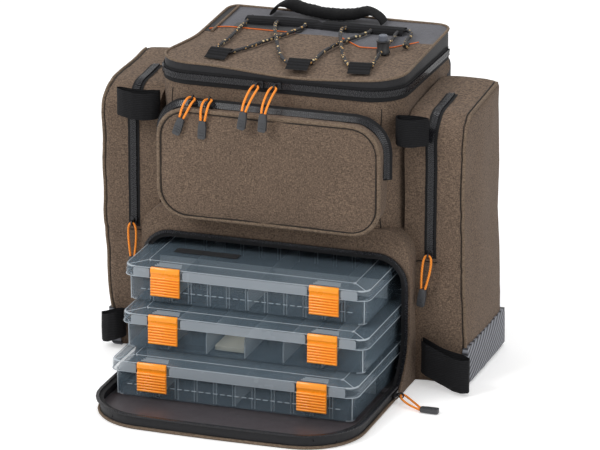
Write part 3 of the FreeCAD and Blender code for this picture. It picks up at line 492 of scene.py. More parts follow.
SIDES = (("left", -1), ("right", 1))
pocket_skins = {}
all_low, all_high = cad("side_pockets")
POCKET_FRONT, POCKET_REAR, POCKET_TOP = all_low.y, all_high.y, all_high.z
pocket_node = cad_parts["side_pockets"]
SEAM_LEVEL = 135
GUARD_TOP = cad("side_guards")[1].z
INNER = 138.5            # where a side pocket's inner face meets the body
WALL_OUT = 150.8         # just outside the lower compartment's wall
for side, sign in SIDES:
    foot = max(sign * v.co.x * 1000 for v in pocket_node.data.vertices if v.co.z < 0.002)
    shoulder = max(sign * v.co.x * 1000 for v in pocket_node.data.vertices if v.co.z > 0.24)
    bm = bmesh.new()
    face = outline(bm, [(sign * INNER, POCKET_FRONT, 0.5), (sign * INNER, POCKET_REAR, 0.5),
                        (sign * INNER, POCKET_REAR, POCKET_TOP - 1),
                        (sign * INNER, POCKET_FRONT, POCKET_TOP - 9)], [(30, (3,)), (8, (2,))], 9)
    profile_line = [vert.co.copy() for vert in face.verts]
    raise_face(bm, face, (sign * (shoulder - INNER), 0, 0))
    rims = [e for e in bm.edges if all(sign * v.co.x > shoulder - 0.1 for v in e.verts)]
    soften(bm, rims, 6, 3)
    cells(bm, 9)
    for vert in bm.verts:
        share = (sign * vert.co.x - INNER) / (shoulder - INNER)
        flare = (foot - shoulder) * max(0.0, 1 - vert.co.z / (POCKET_TOP / 2))
        across = sign * vert.co.x + share * flare
        if vert.co.z < WAIST:
            across = max(across, WALL_OUT)
        back = (vert.co.y - POCKET_FRONT) / (POCKET_REAR - POCKET_FRONT)
        height = ease((vert.co.z - 20) / 60) * ease((POCKET_TOP - vert.co.z) / 60 + 0.3)
        across += 4.5 * share * height * math.sin(math.pi * max(0, min(1, back)))
        vert.co.x = sign * across
        front_share = max(0.0, min(1.0, (POCKET_FRONT + 30 - vert.co.y) / 26))
        pull = math.exp(-((vert.co.z - SEAM_LEVEL) / 6) ** 2)
        vert.co.y += front_share * (1.6 * pull - 2.2 * height)
        if vert.co.z > POCKET_TOP - 14:
            vert.co.z += 2.5 * share * (1 - share) * 4 - 1.5
    crease(bm, 1.7, 42, 11.0 + 5 * sign)
    for vert in bm.verts:
        vert.co.z = max(vert.co.z, 0.2)
        if sign * vert.co.x < INNER:
            vert.co.x = sign * INNER
    bmesh.ops.recalc_face_normals(bm, faces=bm.faces[:])
    pocket_skins[side] = BVHTree.FromBMesh(bm)
    piece("side_pocket_" + side, bm, brown_cloth, "root", "heather_fabric",
          *(["side_pockets"] if side == "right" else []), smooth=60)
    arc = [p for p in profile_line if p.z > POCKET_TOP - 42 and p.y < 0]
    arc.sort(key=lambda p: p.y + p.z)
    edge_line = ([Vector((0, POCKET_FRONT, z)) for z in range(4, 270, 14)] + arc
                 + [Vector((0, POCKET_REAR - 10, POCKET_TOP - 1))])
    for place in edge_line:
        flare = (foot - shoulder) * max(0.0, 1 - place.z / (POCKET_TOP / 2))
        place.x = sign * (shoulder + flare + 1)
    edge_line = laid_on(pocket_skins[side], spaced(edge_line, 5), 1.2)
    welt("side_pocket_piping_" + side, edge_line, 1.8, piping, "root")
    inner_line = [p + Vector((-sign * 3.4, 0, 0)) for p in edge_line]
    welt("side_pocket_seam_" + side, laid_on(pocket_skins[side], inner_line, 0.2), 0.7,
         dark_seam, "root")
    cross = [Vector((sign * x, POCKET_FRONT - 5, SEAM_LEVEL)) for x in range(154, 178, 3)]
    welt("side_pocket_cross_seam_" + side, laid_on(pocket_skins[side], cross, 0.2), 0.6,
         dark_seam, "root")

    # the guard: coated cloth with raised slanting ribs, over the outer side near the ground
    bm = bmesh.new()
    lean = (shoulder - foot) * GUARD_TOP / (POCKET_TOP / 2)
    face = outline(bm, [(sign * (foot - 9), POCKET_FRONT - 1.5, 0.3),
                        (sign * (foot + 2.6), POCKET_FRONT - 1.5, 0.3),
                        (sign * (foot + lean + 3.4), POCKET_FRONT - 1.5, GUARD_TOP),
                        (sign * (foot + lean - 2), POCKET_FRONT - 1.5, GUARD_TOP)],
                   [(4, (1,))], 4)
    raise_face(bm, face, (0, POCKET_REAR - POCKET_FRONT + 3, 0))
    cells(bm, 6)
    fill_out(bm, Vector((2.5, 1.0, 0)))
    crease(bm, 0.5, 30, 2.0)
    for vert in bm.verts:
        vert.co.z = max(vert.co.z, 0.2)
    guard = piece("side_guard_" + side, bm, brown_cloth, "root", "ribbed_guard",
                  *(["side_guards"] if side == "right" else []), smooth=50)
    guard.data.materials.clear()
    if side == "left":
        # ribs of rubbery coating about 6 mm apart, slanting across grey cloth
        ribbed, tree, shader = start_material("ribbed_coating")
        coordinates = add(tree, "ShaderNodeTexCoord")
        turned = add(tree, "ShaderNodeMapping", {"Vector": coordinates.outputs["Object"],
                                                 "Rotation": (math.radians(62), 0, 0)})
        ribs = add(tree, "ShaderNodeTexWave", {"Vector": turned.outputs["Vector"],
                                               "Scale": math.tau / 20 / 0.0058, "Distortion": 0.5},
                   bands_direction="Y")
        ramp = add(tree, "ShaderNodeValToRGB", {"Fac": ribs.outputs["Fac"]})
        ramp.color_ramp.elements[0].position = 0.3
        ramp.color_ramp.elements[0].color = linear("#2f3035")
        ramp.color_ramp.elements[1].position = 0.62
        ramp.color_ramp.elements[1].color = linear("#84868e")
        bump = add(tree, "ShaderNodeBump", {"Height": ribs.outputs["Fac"], "Strength": 0.7,
                                            "Distance": 0.0012})
        feed(tree, shader, {"Base Color": ramp.outputs["Color"],
                            "Normal": bump.outputs["Normal"], "Roughness": 0.6})
    guard.data.materials.append(ribbed)

# ---------------------------------------------------------------------------
# Zips: coil chain on woven black tape.  Two rows of nylon coil mesh into a raised
# herringbone ridge; where a zip is open, each edge carries one row.


def seam_path(corners, rounds, step, open_end=True):
    """The rounded outline through some corners, as points a step apart; an open one leaves
    out its longest side."""
    bm = bmesh.new()
    points = [vert.co.copy() for vert in outline(bm, corners, rounds, 8).verts]
    bm.free()
    if not open_end:
        return spaced(points, step, True)
    gaps = [(points[(i + 1) % len(points)] - points[i]).length for i in range(len(points))]
    first = (gaps.index(max(gaps)) + 1) % len(points)
    return spaced(points[first:] + points[:first], step)


def frames(points, across=None, out=None):
    """At each point of a seam: its place, direction, the way across it and the way out."""
    result = []
    for i, place in enumerate(points):
        ahead = points[min(i + 1, len(points) - 1)] - points[max(i - 1, 0)]
        ahead.normalize()
        side = across if across is not None else out.cross(ahead).normalized()
        face = out if out is not None else ahead.cross(across).normalized()
        result.append((place, ahead, side, face))
    return result


def faced(seam, toward):
    """The same frames with their way out turned to one side, judged in the middle."""
    if seam[len(seam) // 2][3].dot(toward) < 0:
        return [(place, ahead, side, -face) for place, ahead, side, face in seam]
    return seam


def strip(bm, seam, wide, thick, lift=0.0, shift=0.0):
    """A woven strip laid along a seam, lifted off it and shifted across it."""
    near = [bm.verts.new(place + face * lift + side * (shift - wide / 2))
            for place, ahead, side, face in seam]
    edges = [bm.edges.new(pair) for pair in zip(near, near[1:])]
    grown = bmesh.ops.extrude_edge_only(bm, edges=edges)["geom"]
    far = [g for g in grown if isinstance(g, bmesh.types.BMVert)]
    for vert in far:
        k = min(range(len(near)), key=lambda i: (near[i].co - vert.co).length_squared)
        vert.co += seam[k][2] * wide
    faces = [g for g in grown if isinstance(g, bmesh.types.BMFace)]
    bmesh.ops.solidify(bm, geom=faces, thickness=thick)


def coil(bm, seam, rows, pitch=2.1, lift=1.0):
    """Rows of coil teeth along a seam, each a small slanted bar."""
    line = [item[0] for item in seam]
    lengths = run_length(line)
    for row in rows:
        k = 0
        for i in range(int(lengths[-1] / pitch)):
            goal = pitch * (i + (0.25 if row < 0 else 0.75))
            while k < len(lengths) - 2 and lengths[k + 1] < goal:
                k += 1
            share = (goal - lengths[k]) / (lengths[k + 1] - lengths[k])
            place, ahead, side, face = [a.lerp(b, share) for a, b in zip(seam[k], seam[k + 1])]
            turned = (side + ahead * 0.45 * row).normalized()
            along = face.cross(turned).normalized()
            spot = place + side * row * 1.7 + face * lift
            matrix = Matrix((turned * 3.6, along * 1.15, face * 1.7)).transposed().to_4x4()
            matrix.translation = spot
            bmesh.ops.create_cube(bm, size=1.0, matrix=matrix)


tape = satin("woven_zip_tape", "#111113", 0.85, 0.9, 0.0004, 0.0)
nylon, nylon_tree, nylon_shader = start_material("nylon_coil")
nylon_place = add(nylon_tree, "ShaderNodeTexCoord")
nylon_spots = add(nylon_tree, "ShaderNodeTexNoise", {"Vector": nylon_place.outputs["Object"],
                                                     "Scale": 900.0, "Detail": 2.0})
nylon_rough = add(nylon_tree, "ShaderNodeMapRange", {"Value": nylon_spots.outputs["Fac"],
                                                     "To Min": 0.18, "To Max": 0.34})
feed(nylon_tree, nylon_shader, {"Base Color": linear("#222226"),
                                "Roughness": nylon_rough.outputs["Result"]})


def zip_run(name, seam, body, rows, wide, replaced=(), shift=0.0, lift=0.4, thick=0.8):
    """One zip: its tape and its coil, on a body."""
    bm = bmesh.new()
    strip(bm, seam, wide, thick, lift, shift)
    piece(name + "_tape", bm, tape, body, "zip_tape", *replaced, smooth=50)
    bm = bmesh.new()
    coil(bm, seam, rows, lift=lift + 1.0)
    piece(name + "_coil", bm, nylon, body, "zip_tape", smooth=30)


UP, RIGHT, BACK = Vector((0, 0, 1)), Vector((1, 0, 0)), Vector((0, 1, 0))
RIM_BACK = cad("rim_zip")[1].y
CHAIN = cad("lid_zip")[0].z - 0.3
rim_seam = seam_path([(-HALF, RIM_BACK, CHAIN), (-HALF, FRONT, CHAIN), (HALF, FRONT, CHAIN),
                      (HALF, RIM_BACK, CHAIN)], [(BODY_ROUND, (1, 2))], 4)
rim_frames = faced(frames(rim_seam, across=UP), -BACK)
zip_run("rim_zip", rim_frames, "root", (-1,), 8.5, ("rim_zip",), shift=-4.4, lift=0.9)
zip_run("lid_zip", rim_frames, "lid", (1,), 6.0, ("lid_zip",), shift=3.2, lift=0.9)

# the open zip round the arched opening; its tape is the black binding of the edge
arch_seam = seam_path([(-OPEN_HALF, FRONT, 7), (-OPEN_HALF, FRONT, OPEN_TOP),
                       (OPEN_HALF, FRONT, OPEN_TOP), (OPEN_HALF, FRONT, 7)],
                      [(ARCH_ROUND, (1, 2))], 4)
for place in arch_seam:
    place.y = edge_front(place.z) - 1.8 - 3.5 * ease((place.z - OPEN_TOP + 40) / 34)
arch_frames = frames(arch_seam, out=-BACK)
inward = 1 if arch_frames[0][2].x * arch_frames[0][0].x < 0 else -1
zip_run("arch_zip", arch_frames, "root", (-inward,), 7.5, ("compartment_zip",),
        shift=0.4 * inward, lift=0.4)

# the front pocket's zip runs over the gusset, and ends half way down both sides
HALF_WAY = (pocket_low.z + pocket_high.z) / 2
gusset = pocket_low.y + 15
pocket_seam = seam_path([(pocket_low.x, gusset, HALF_WAY), (pocket_low.x, gusset, pocket_high.z),
                         (pocket_high.x, gusset, pocket_high.z),
                         (pocket_high.x, gusset, HALF_WAY)], [(POCKET_ROUND, (1, 2))], 4)
pocket_frames = faced(frames(pocket_seam, across=BACK), UP)
# the gusset slants, so the zip faces forwards as much as up and out
pocket_frames = [(p + f * 3.4, a, BACK * 0.6 + f * 0.8, f * 0.6 - BACK * 0.8)
                 for p, a, b, f in pocket_frames]
zip_run("pocket_zip", pocket_frames, "root", (-1, 1), 12, ("pocket_zips",), shift=1.0, lift=0.5)

# each side pocket's zip climbs its front and goes back over the top
SIDE_ZIP_ACROSS = 168
CLIMB = ((-82, 140), (-82, 284), (-80, 297), (-72, 306), (-55, 309), (-8, 312))
for side, sign in SIDES:
    across = sign * SIDE_ZIP_ACROSS
    laid = []
    for place in spaced([Vector((across, y, z)) for y, z in CLIMB], 4):
        spot, face, number, gap = pocket_skins[side].find_nearest(place)
        laid.append((Vector((across, spot.y, spot.z)), Vector((0, face.y, face.z)).normalized()))
    side_frames = []
    for i, (place, face) in enumerate(laid):
        ahead = (laid[min(i + 1, len(laid) - 1)][0] - laid[max(i - 1, 0)][0]).normalized()
        outward = RIGHT.cross(ahead)
        side_frames.append((place, ahead, RIGHT,
                            outward * -1 if outward.dot(face) < 0 else outward))
    zip_run("side_zip_" + side, side_frames, "root", (-1, 1), 13, lift=0.6)

# ---------------------------------------------------------------------------
# Rod straps: loops of black webbing sewn to the front of the side pockets, open at
# both ends.  The small upper ones stand round; the big lower one on the right waves.


def woven_band(name, dark, light, rib):
    """Ribbed polypropylene webbing: fine ribs along it and a matt black yarn."""
    material, tree, shader = start_material(name)
    coordinates = add(tree, "ShaderNodeTexCoord")
    ribs = add(tree, "ShaderNodeTexWave", {"Vector": coordinates.outputs["Object"],
                                           "Scale": 1000 / rib / 6.283 * 2, "Distortion": 0.6,
                                           "Detail": 1.0}, bands_direction="Z")
    yarn = threads(tree, 2.4, 0.8, "xy")
    both = add(tree, "ShaderNodeMath", {0: ribs.outputs["Fac"], 1: yarn}, operation="MULTIPLY")
    ramp = add(tree, "ShaderNodeValToRGB", {"Fac": both.outputs[0]})
    ramp.color_ramp.elements[0].color = linear(dark)
    ramp.color_ramp.elements[1].color = linear(light)
    ramp.color_ramp.elements[1].position = 0.7
    bump = add(tree, "ShaderNodeBump", {"Height": both.outputs[0], "Strength": 0.6,
                                        "Distance": 0.0006})
    feed(tree, shader, {"Base Color": ramp.outputs["Color"], "Normal": bump.outputs["Normal"],
                        "Roughness": 0.85, "Specular IOR Level": 0.2})
    return material


band = woven_band("webbing_black", "#09090a", "#1e1e21", 2.0)


def rod_loop(name, plan, low, high, waves, droop, replaced=()):
    """A standing loop of webbing round some plan points; it waves, and may droop outwards."""
    bm = bmesh.new()
    points = spaced([Vector((x, y, low)) for x, y in plan], 3)
    left = min(x for x, y in plan)
    span = max(x for x, y in plan) - left
    for place in points:
        place.z += waves * math.sin(place.x * 0.13 + place.y * 0.07)
        place.z -= droop * ease((place.x - left) / span)
    strip(bm, frames(points, across=UP), high - low, 1.7, shift=(high - low) / 2)
    cells(bm, 9, (2,))
    for vert in bm.verts:
        share = (vert.co.z - low) / (high - low)
        vert.co.y += waves * 0.5 * math.sin(share * 5 + vert.co.x * 0.11)
        vert.co.z = max(vert.co.z, 0.3)
    piece(name, bm, band, "root", "webbing", *replaced, smooth=60)


rod_loop("upper_rod_strap_left", [(-134, -88), (-133, -93), (-138, -99.5), (-148, -103.5),
                                  (-160, -104.5), (-172, -101), (-180, -95.5), (-183, -91),
                                  (-180, -89.4), (-160, -89.8), (-134, -88.4)],
         269, 299, 0.6, 0, ("rod_straps",))
rod_loop("upper_rod_strap_right", [(133, -86), (131.5, -92), (136, -99.5), (145, -103.5),
                                   (155, -103), (164, -97), (168, -90.5), (164, -88.6),
                                   (150, -87.4), (133, -86.4)], 269, 299, 0.6, 0)
rod_loop("lower_rod_strap_right", [(161, -85), (163, -95), (170, -102), (180, -104), (192, -106),
                                   (204, -112), (214, -114.5), (220.5, -110), (220, -102),
                                   (212, -98.5), (200, -97), (188, -94), (176, -90),
                                   (162, -85.5)], 15, 52, 1.4, 12)
rod_loop("lower_rod_strap_left", [(-178, -86), (-179, -92), (-185, -98), (-194, -98.5),
                                  (-202, -94), (-206.5, -86), (-200, -84.5), (-178, -85)],
         8, 40, 1.0, -5)

# ---------------------------------------------------------------------------
# Lid: a stiffened top with a black band of zip fabric round it.  Its front is the brown
# cloth, its rear smooth dark grey polyester, and orange piping marks the join.

lid_bottom, lid_peak = cad("lid_panel")
LID_LOW, LID_REAR_TOP, LID_FRONT_TOP = lid_bottom.z, lid_peak.z, lid_bottom.z + 14.7
LID_FRONT, LID_BACK = lid_bottom.y, lid_peak.y
LID_ROUNDS = [(BODY_ROUND, (0, 1)), (16, (2, 3))]
HEM = 0.6                # how far the cloths stay inside the lid's edge


def lid_level(back):
    """Height of the lid's sloping top at a place from front to back."""
    share = (back - LID_FRONT + 3) / (LID_BACK - LID_FRONT + 6)
    return LID_FRONT_TOP + (LID_REAR_TOP - LID_FRONT_TOP) * share


def settle(place):
    """The lid's edge leans in at the rear left, and its front edge sinks in the middle."""
    rise = max(0.0, min(1.0, (place.z - LID_LOW - 2) / (lid_level(place.y) - LID_LOW - 2)))
    edge = max(0.0, -place.x / HALF) ** 3
    moved = place.copy()
    moved.x += 17 * rise * edge * ease((place.y + 92) / 90)
    nearness = ease((-place.y - 62) / 34)
    moved.z -= 5.5 * rise * nearness * ease(1 - abs(place.x - 22) / 105)
    return moved


bm = bmesh.new()
side_face = outline(bm, plan_box(-HALF, LID_FRONT, HALF, LID_BACK, LID_LOW + 0.4), LID_ROUNDS)
raise_face(bm, side_face, (0, 0, 1))
bm.normal_update()
bmesh.ops.delete(bm, geom=[f for f in bm.faces if abs(f.normal.z) > 0.9], context="FACES")
for vert in bm.verts:
    if vert.co.z > LID_LOW + 1:
        vert.co.z = lid_level(vert.co.y) - 1.5
cells(bm, 8)
for vert in bm.verts:
    vert.co = settle(vert.co)
crease(bm, 0.5, 35, 4.0)
thicken(bm, 1.5)
band_cloth = satin("smooth_black_twill", "#17171a", 0.6, 0.9, 0.0003, 0.03)
piece("lid_band", bm, band_cloth, "lid", "zip_tape", "lid_panel", smooth=60)

JOIN = [(-138, 6), (-128, 11), (-116, 20), (-104, 23.5), (-57, 23.5), (-20, 23.5), (8, 27),
        (30, 25), (44, 13), (62, -2), (78, -1), (96, 7), (110, 22), (118, 31), (138, 31)]
grey_cloth = satin("dark_grey_polyester", "#44444b", 0.7, 1.0, 0.0003, 0.25)


def lid_folds(place):
    """The lid's soft folds, which all its cloths share."""
    return 0.9 * noise.noise(Vector((place.x / 34, place.y / 34, 2.0))) - 0.6


def lid_sheet(name, corners, rounds, material, slot, lift=0.0):
    """One of the lid's cloths, cut to its outline and laid on the top."""
    bm = bmesh.new()
    face = outline(bm, corners, rounds, 7)
    raise_face(bm, face, (0, 0, 2))
    cells(bm, 7, (0, 1))
    for vert in bm.verts:
        above = vert.co.z > 1
        vert.co.z = lid_level(vert.co.y) + (lift if above else lift - 2)
        vert.co = settle(vert.co)
        if above:
            vert.co.z += lid_folds(vert.co)
    piece(name, bm, material, "lid", slot, smooth=60)


join_corners = [(min(x, HALF - HEM) if x > 0 else max(x, -HALF + HEM), y, 0) for x, y in JOIN]
lid_sheet("lid_front_cloth", [(-HALF + HEM, LID_FRONT + HEM, 0), (HALF - HEM, LID_FRONT + HEM, 0)]
          + join_corners[::-1], [(37, (0, 1))], brown_cloth, "heather_fabric")
lid_sheet("lid_rear_cloth", join_corners + [(HALF - HEM, LID_BACK - HEM, 0),
                                            (-HALF + HEM, LID_BACK - HEM, 0)],
          [(16, (len(JOIN), len(JOIN) + 1))], grey_cloth, "grey_fabric")
orange_cord, orange_tree, orange_shader = start_material("orange_piped_edge")
orange_yarn = threads(orange_tree, 3.0, 0.8, "x")
orange_ramp = add(orange_tree, "ShaderNodeValToRGB", {"Fac": orange_yarn})
orange_ramp.color_ramp.elements[0].color = linear("#b9501a")
orange_ramp.color_ramp.elements[1].color = linear("#ec7c2c")
feed(orange_tree, orange_shader, {"Base Color": orange_ramp.outputs["Color"], "Roughness": 0.7})
# the front cloth's fold covers the piping in the middle of the lid
for side, run in (("left", JOIN[1:6]), ("right", JOIN[7:-1])):
    join_line = [settle(Vector((x, y, lid_level(y) + 0.3))) for x, y in run]
    welt("lid_join_piping_" + side, spaced(join_line, 4), 0.7, orange_cord, "lid")
top_edge = seam_path(plan_box(-HALF, LID_FRONT, HALF, LID_BACK), LID_ROUNDS, 5, False)
for place in top_edge:
    place.z = lid_level(place.y)
welt("lid_edge_piping", [settle(place) for place in top_edge], 1.5, piping, "lid",
     True)
# the lid's lining, and the strip of black cloth that hinges it to the back
lid_sheet("lid_lining", plan_box(-HALF + 5, LID_FRONT + 5, HALF - 5, LID_BACK - 5),
          [(33, (0, 1)), (12, (2, 3))], lining, "lining", -3.0)
HINGE_BACK = LID_BACK + 0.9
bm = bmesh.new()
outline(bm, front_box(-HALF + 20, LID_LOW - 14, HALF - 20, LID_LOW + 10, HINGE_BACK))
cells(bm, 3, (2,))
cells(bm, 12, (0,))
thicken(bm, 1.2)
lid_hinge = piece("lid_hinge_cloth", bm, band_cloth, None, "zip_tape", smooth=60)
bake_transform(lid_hinge)
# a smooth black panel covers the rear left corner, behind a short piped seam
lid_sheet("lid_corner_cloth", [(-HALF + 0.4, 6, 0), (-120, 6, 0), (-120, LID_BACK - 3, 0),
                               (-HALF + 9, LID_BACK - 3, 0), (-HALF + 0.4, LID_BACK - 14, 0)],
          [], band_cloth, "zip_tape", 0.5)
short_seam = spaced([Vector((-120, 3, 0)), Vector((-120, LID_BACK - 5, 0))], 5)
for place in short_seam:
    place.z = lid_level(place.y) + 0.8
welt("lid_corner_piping", [settle(place) for place in short_seam], 1.4, piping, "lid")
patch = satin("plain_patch", "#1b1b1e", 0.45, 1.4, 0.0002)
bm = bmesh.new()
label = outline(bm, plan_box(-92, 27, -14, 40), [(3, (0, 1, 2, 3))], 4)
raise_face(bm, label, (0, 0, 0.7))
cells(bm, 8, (0, 1))
for vert in bm.verts:
    vert.co.z += lid_level(vert.co.y) + lid_folds(vert.co)
piece("lid_patch", bm, patch, "lid", "label_patch", smooth=30)

# ---------------------------------------------------------------------------
# Cord webbing: three short loops of webbing at the lid's front and a padded sleeve
# across its rear.  The elastic cord slides through all of them.

TABS = ((-73, -68, -6), (20, -78, 4), (86, -72, 9))        # across, back, turn in degrees
TAB_ARCH = ((-15, 0.4), (-9, 2.2), (-3, 5.4), (2, 7.4), (6, 7.2), (9, 5), (10.5, 2), (11, -0.5))
for number, (across, back, turn) in enumerate(TABS):
    base = lid_level(back)
    points = spaced([Vector((across, back + y, base + z)) for y, z in TAB_ARCH], 2)
    bm = bmesh.new()
    strip(bm, frames(points, across=RIGHT), 24, 1.4)
    bmesh.ops.rotate(bm, verts=bm.verts[:], cent=(across, back, base),
                     matrix=Matrix.Rotation(math.radians(turn), 3, "Z"))
    piece("cord_tab_%d" % (number + 1), bm, band, "lid", "webbing",
          *(["cord_webbing"] if number == 0 else []), smooth=60)
SLEEVE_LEFT, SLEEVE_RIGHT, SLEEVE_BACK = -83, 95, 52
SLEEVE_ARCH = ((-10, 0.2), (-9, 3.4), (-5.5, 6), (0, 7), (5.5, 6), (9, 3.4), (10, 0.2))
sleeve_level = lid_level(SLEEVE_BACK)
bm = bmesh.new()
points = spaced([Vector((0, SLEEVE_BACK + y, sleeve_level + z)) for y, z in SLEEVE_ARCH], 2)
strip(bm, frames(points, across=RIGHT), SLEEVE_RIGHT - SLEEVE_LEFT, 1.8,
      shift=(SLEEVE_LEFT + SLEEVE_RIGHT) / 2)
cells(bm, 6, (0,))
for vert in bm.verts:
    vert.co.z += 0.5 * noise.noise(vert.co / 17) - 0.4
    vert.co.z -= 2.6 * math.exp(-(vert.co.x / 3.5) ** 2)
    bend = ease((vert.co.x - SLEEVE_LEFT) / 60)
    vert.co.y += 5 * (bend - 1) + 3 * ease((vert.co.x - 30) / 68)
piece("cord_sleeve", bm, band, "lid", "webbing", smooth=60)

# ---------------------------------------------------------------------------
# Elastic cord: 4 mm braided rubber-cored cord, black with cream and orange flecks.  It
# zigzags between the tabs and the sleeve, through a cord lock, and ends in a knot.

BUNGEE = 4.0             # thickness
BUNGEE_ROUTE = [         # across, back, and height over the lid
    (-80, 56, 3), (-81, 22, 3), (-79, -22, 3), (-84, -60, 3), (-68, -70, 3), (-52, -48, 3),
    (-37, -14, 3), (-20, 20, 3), (-12, 46, 3), (-30, 58, 3), (-50, 50, 3), (-40, 14, 8),
    (-27, -18, 8), (-12, -52, 3), (4, -78, 3), (20, -83, 3), (33, -68, 3), (31, -36, 3),
    (39, -2, 3), (54, 28, 3), (62, 48, 3), (46, 58, 3), (27, 46, 3), (34, 16, 8), (44, -12, 8),
    (58, -46, 3), (72, -70, 3), (86, -77, 3), (97, -66, 3), (94, -40, 5), (92, -6, 5),
    (91, 26, 3), (87, 50, 3), (97, 59, 3), (107, 44, 3), (105, 22, 3), (112, 5, 4.4)]


def cord_line(name, route, thick):
    """A cord as one smooth NURBS line through its route, in metres."""
    curve = bpy.data.curves.new(name, "CURVE")
    curve.dimensions = "3D"
    line = curve.splines.new("NURBS")
    line.points.add(len(route) - 1)
    for point, place in zip(line.points, route):
        point.co = (*(Vector(place) * 0.001), 1)
    line.order_u = 3
    line.use_endpoint_u = True
    line.resolution_u = 10
    curve.bevel_depth = thick * 0.0005
    curve.bevel_resolution = 3
    curve.use_fill_caps = True
    return show(name, curve)


def braid(name, dark, light, light_2=None, across=1.1):
    """A braided sleeve: slanting yarns round the cord, with light ones picked out in pairs."""
    material, tree, shader = start_material(name)
    uv = add(tree, "ShaderNodeTexCoord")
    yarns = add(tree, "ShaderNodeTexWave", {"Vector": uv.outputs["Object"],
                                            "Scale": 1000 / across / 6.283, "Distortion": 2.0,
                                            "Detail": 1.0}, bands_direction="DIAGONAL")
    picks = add(tree, "ShaderNodeTexVoronoi", {"Vector": uv.outputs["Object"], "Scale": 210.0},
                feature="F1")
    mask = add(tree, "ShaderNodeMapRange", {"Value": picks.outputs["Distance"],
                                            "From Min": 0.34, "From Max": 0.26})
    ramp = add(tree, "ShaderNodeValToRGB", {"Fac": yarns.outputs["Fac"]})
    ramp.color_ramp.elements[0].color = linear(dark)
    ramp.color_ramp.elements[1].color = linear(light)
    source = ramp.outputs["Color"]
    if light_2:
        pale = add(tree, "ShaderNodeMix", {"Factor": picks.outputs["Color"]}, data_type="RGBA")
        pale.inputs["A"].default_value = linear(light_2)
        pale.inputs["B"].default_value = linear("#c98f3c")
        fleck = add(tree, "ShaderNodeMix", {"Factor": mask.outputs["Result"]}, data_type="RGBA")
        tree.links.new(source, fleck.inputs["A"])
        tree.links.new(pale.outputs["Result"], fleck.inputs["B"])
        source = fleck.outputs["Result"]
    bump = add(tree, "ShaderNodeBump", {"Height": yarns.outputs["Fac"], "Strength": 0.5,
                                        "Distance": 0.0004})
    feed(tree, shader, {"Base Color": source, "Normal": bump.outputs["Normal"],
                        "Roughness": 0.7})
    return material


elastic = braid("flecked_elastic", "#0e0e0f", "#2a292c", "#d9cba0")
bungee_places = [(x, y, lid_level(y) + rise) for x, y, rise in BUNGEE_ROUTE]
bungee = cord_line("bungee", bungee_places, BUNGEE)
bungee.data.materials.append(elastic)
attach(bungee, "lid")
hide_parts("bungee_cord")

# the knot: two turns of the same cord pulled tight on themselves
knot_low, knot_high = cad("cord_knot")
knot_middle = (knot_low + knot_high) / 2
bm = bmesh.new()
TURN_RADIUS, CORD_RADIUS = 2.0, 1.8
upright = Matrix.Translation((TURN_RADIUS, 0, 0)) @ Matrix.Rotation(math.pi / 2, 4, "X")
for tilt, shift in ((25, -1.3), (-40, 1.1)):
    ring = bmesh.ops.create_circle(bm, segments=8, radius=CORD_RADIUS, matrix=upright)["verts"]
    bmesh.ops.spin(bm, geom=ring + list({e for v in ring for e in v.link_edges}),
                   cent=(0, 0, 0), axis=(0, 0, 1), angle=math.tau, steps=16, use_merge=True)
    around = [v for v in bm.verts if not v.tag]
    bmesh.ops.rotate(bm, verts=around, cent=(0, 0, 0),
                     matrix=Matrix.Rotation(math.radians(90 + tilt), 3, "X"))
    bmesh.ops.translate(bm, verts=around, vec=(0, shift, 0))
    for vert in around:
        vert.tag = True
bmesh.ops.translate(bm, verts=bm.verts[:], vec=knot_middle)
knot = piece("bungee_knot", bm, elastic, "lid", "elastic_cord", "cord_knot", smooth=60)

# ---------------------------------------------------------------------------
# Cord lock: a moulded black barrel with a hole for the cord, a flared foot and a
# sprung plunger that is pressed down to let the cord run.


def moulded(name, colour, rough, grit=0.6, deep=0.00015):
    """Injection-moulded black plastic or rubber with a fine spark-eroded grain."""
    material, tree, shader = start_material(name)
    coordinates = add(tree, "ShaderNodeTexCoord")
    grain = add(tree, "ShaderNodeTexNoise", {"Vector": coordinates.outputs["Object"],
                                             "Scale": 1000 / grit, "Detail": 2.0})
    wear = add(tree, "ShaderNodeTexNoise", {"Vector": coordinates.outputs["Object"],
                                            "Scale": 60.0, "Detail": 3.0})
    shade = add(tree, "ShaderNodeMapRange", {"Value": wear.outputs["Fac"], "From Min": 0.3,
                                             "From Max": 0.7, "To Min": rough - 0.08,
                                             "To Max": rough + 0.08})
    tint = add(tree, "ShaderNodeMapRange", {"Value": grain.outputs["Fac"], "To Min": 0.85,
                                            "To Max": 1.15})
    colour_out = add(tree, "ShaderNodeVectorMath", {0: linear(colour)[:3],
                                                    1: tint.outputs["Result"]},
                     operation="MULTIPLY")
    bump = add(tree, "ShaderNodeBump", {"Height": grain.outputs["Fac"], "Strength": 0.4,
                                        "Distance": deep})
    feed(tree, shader, {"Base Color": colour_out.outputs["Vector"],
                        "Roughness": shade.outputs["Result"], "Normal": bump.outputs["Normal"]})
    return material


black_plastic = moulded("moulded_black", "#19191b", 0.42)
grey_plastic = moulded("moulded_grey", "#5d616b", 0.4)
barrel_low, barrel_high = cad("cord_lock_barrel")
barrel_middle = (barrel_low + barrel_high) / 2


def turned(name, profile, middle, material, body, slot, node):
    """A round moulding spun from half its section."""
    bm = bmesh.new()
    verts = [bm.verts.new((radius, 0, height)) for radius, height in profile]
    edges = [bm.edges.new(pair) for pair in zip(verts, verts[1:])]
    bmesh.ops.spin(bm, geom=verts + edges, cent=(0, 0, 0), axis=(0, 0, 1), angle=math.tau,
                   steps=32, use_merge=True)
    bmesh.ops.translate(bm, verts=bm.verts[:], vec=(middle.x, middle.y, 0))
    return piece(name, bm, material, body, slot, node, smooth=35)


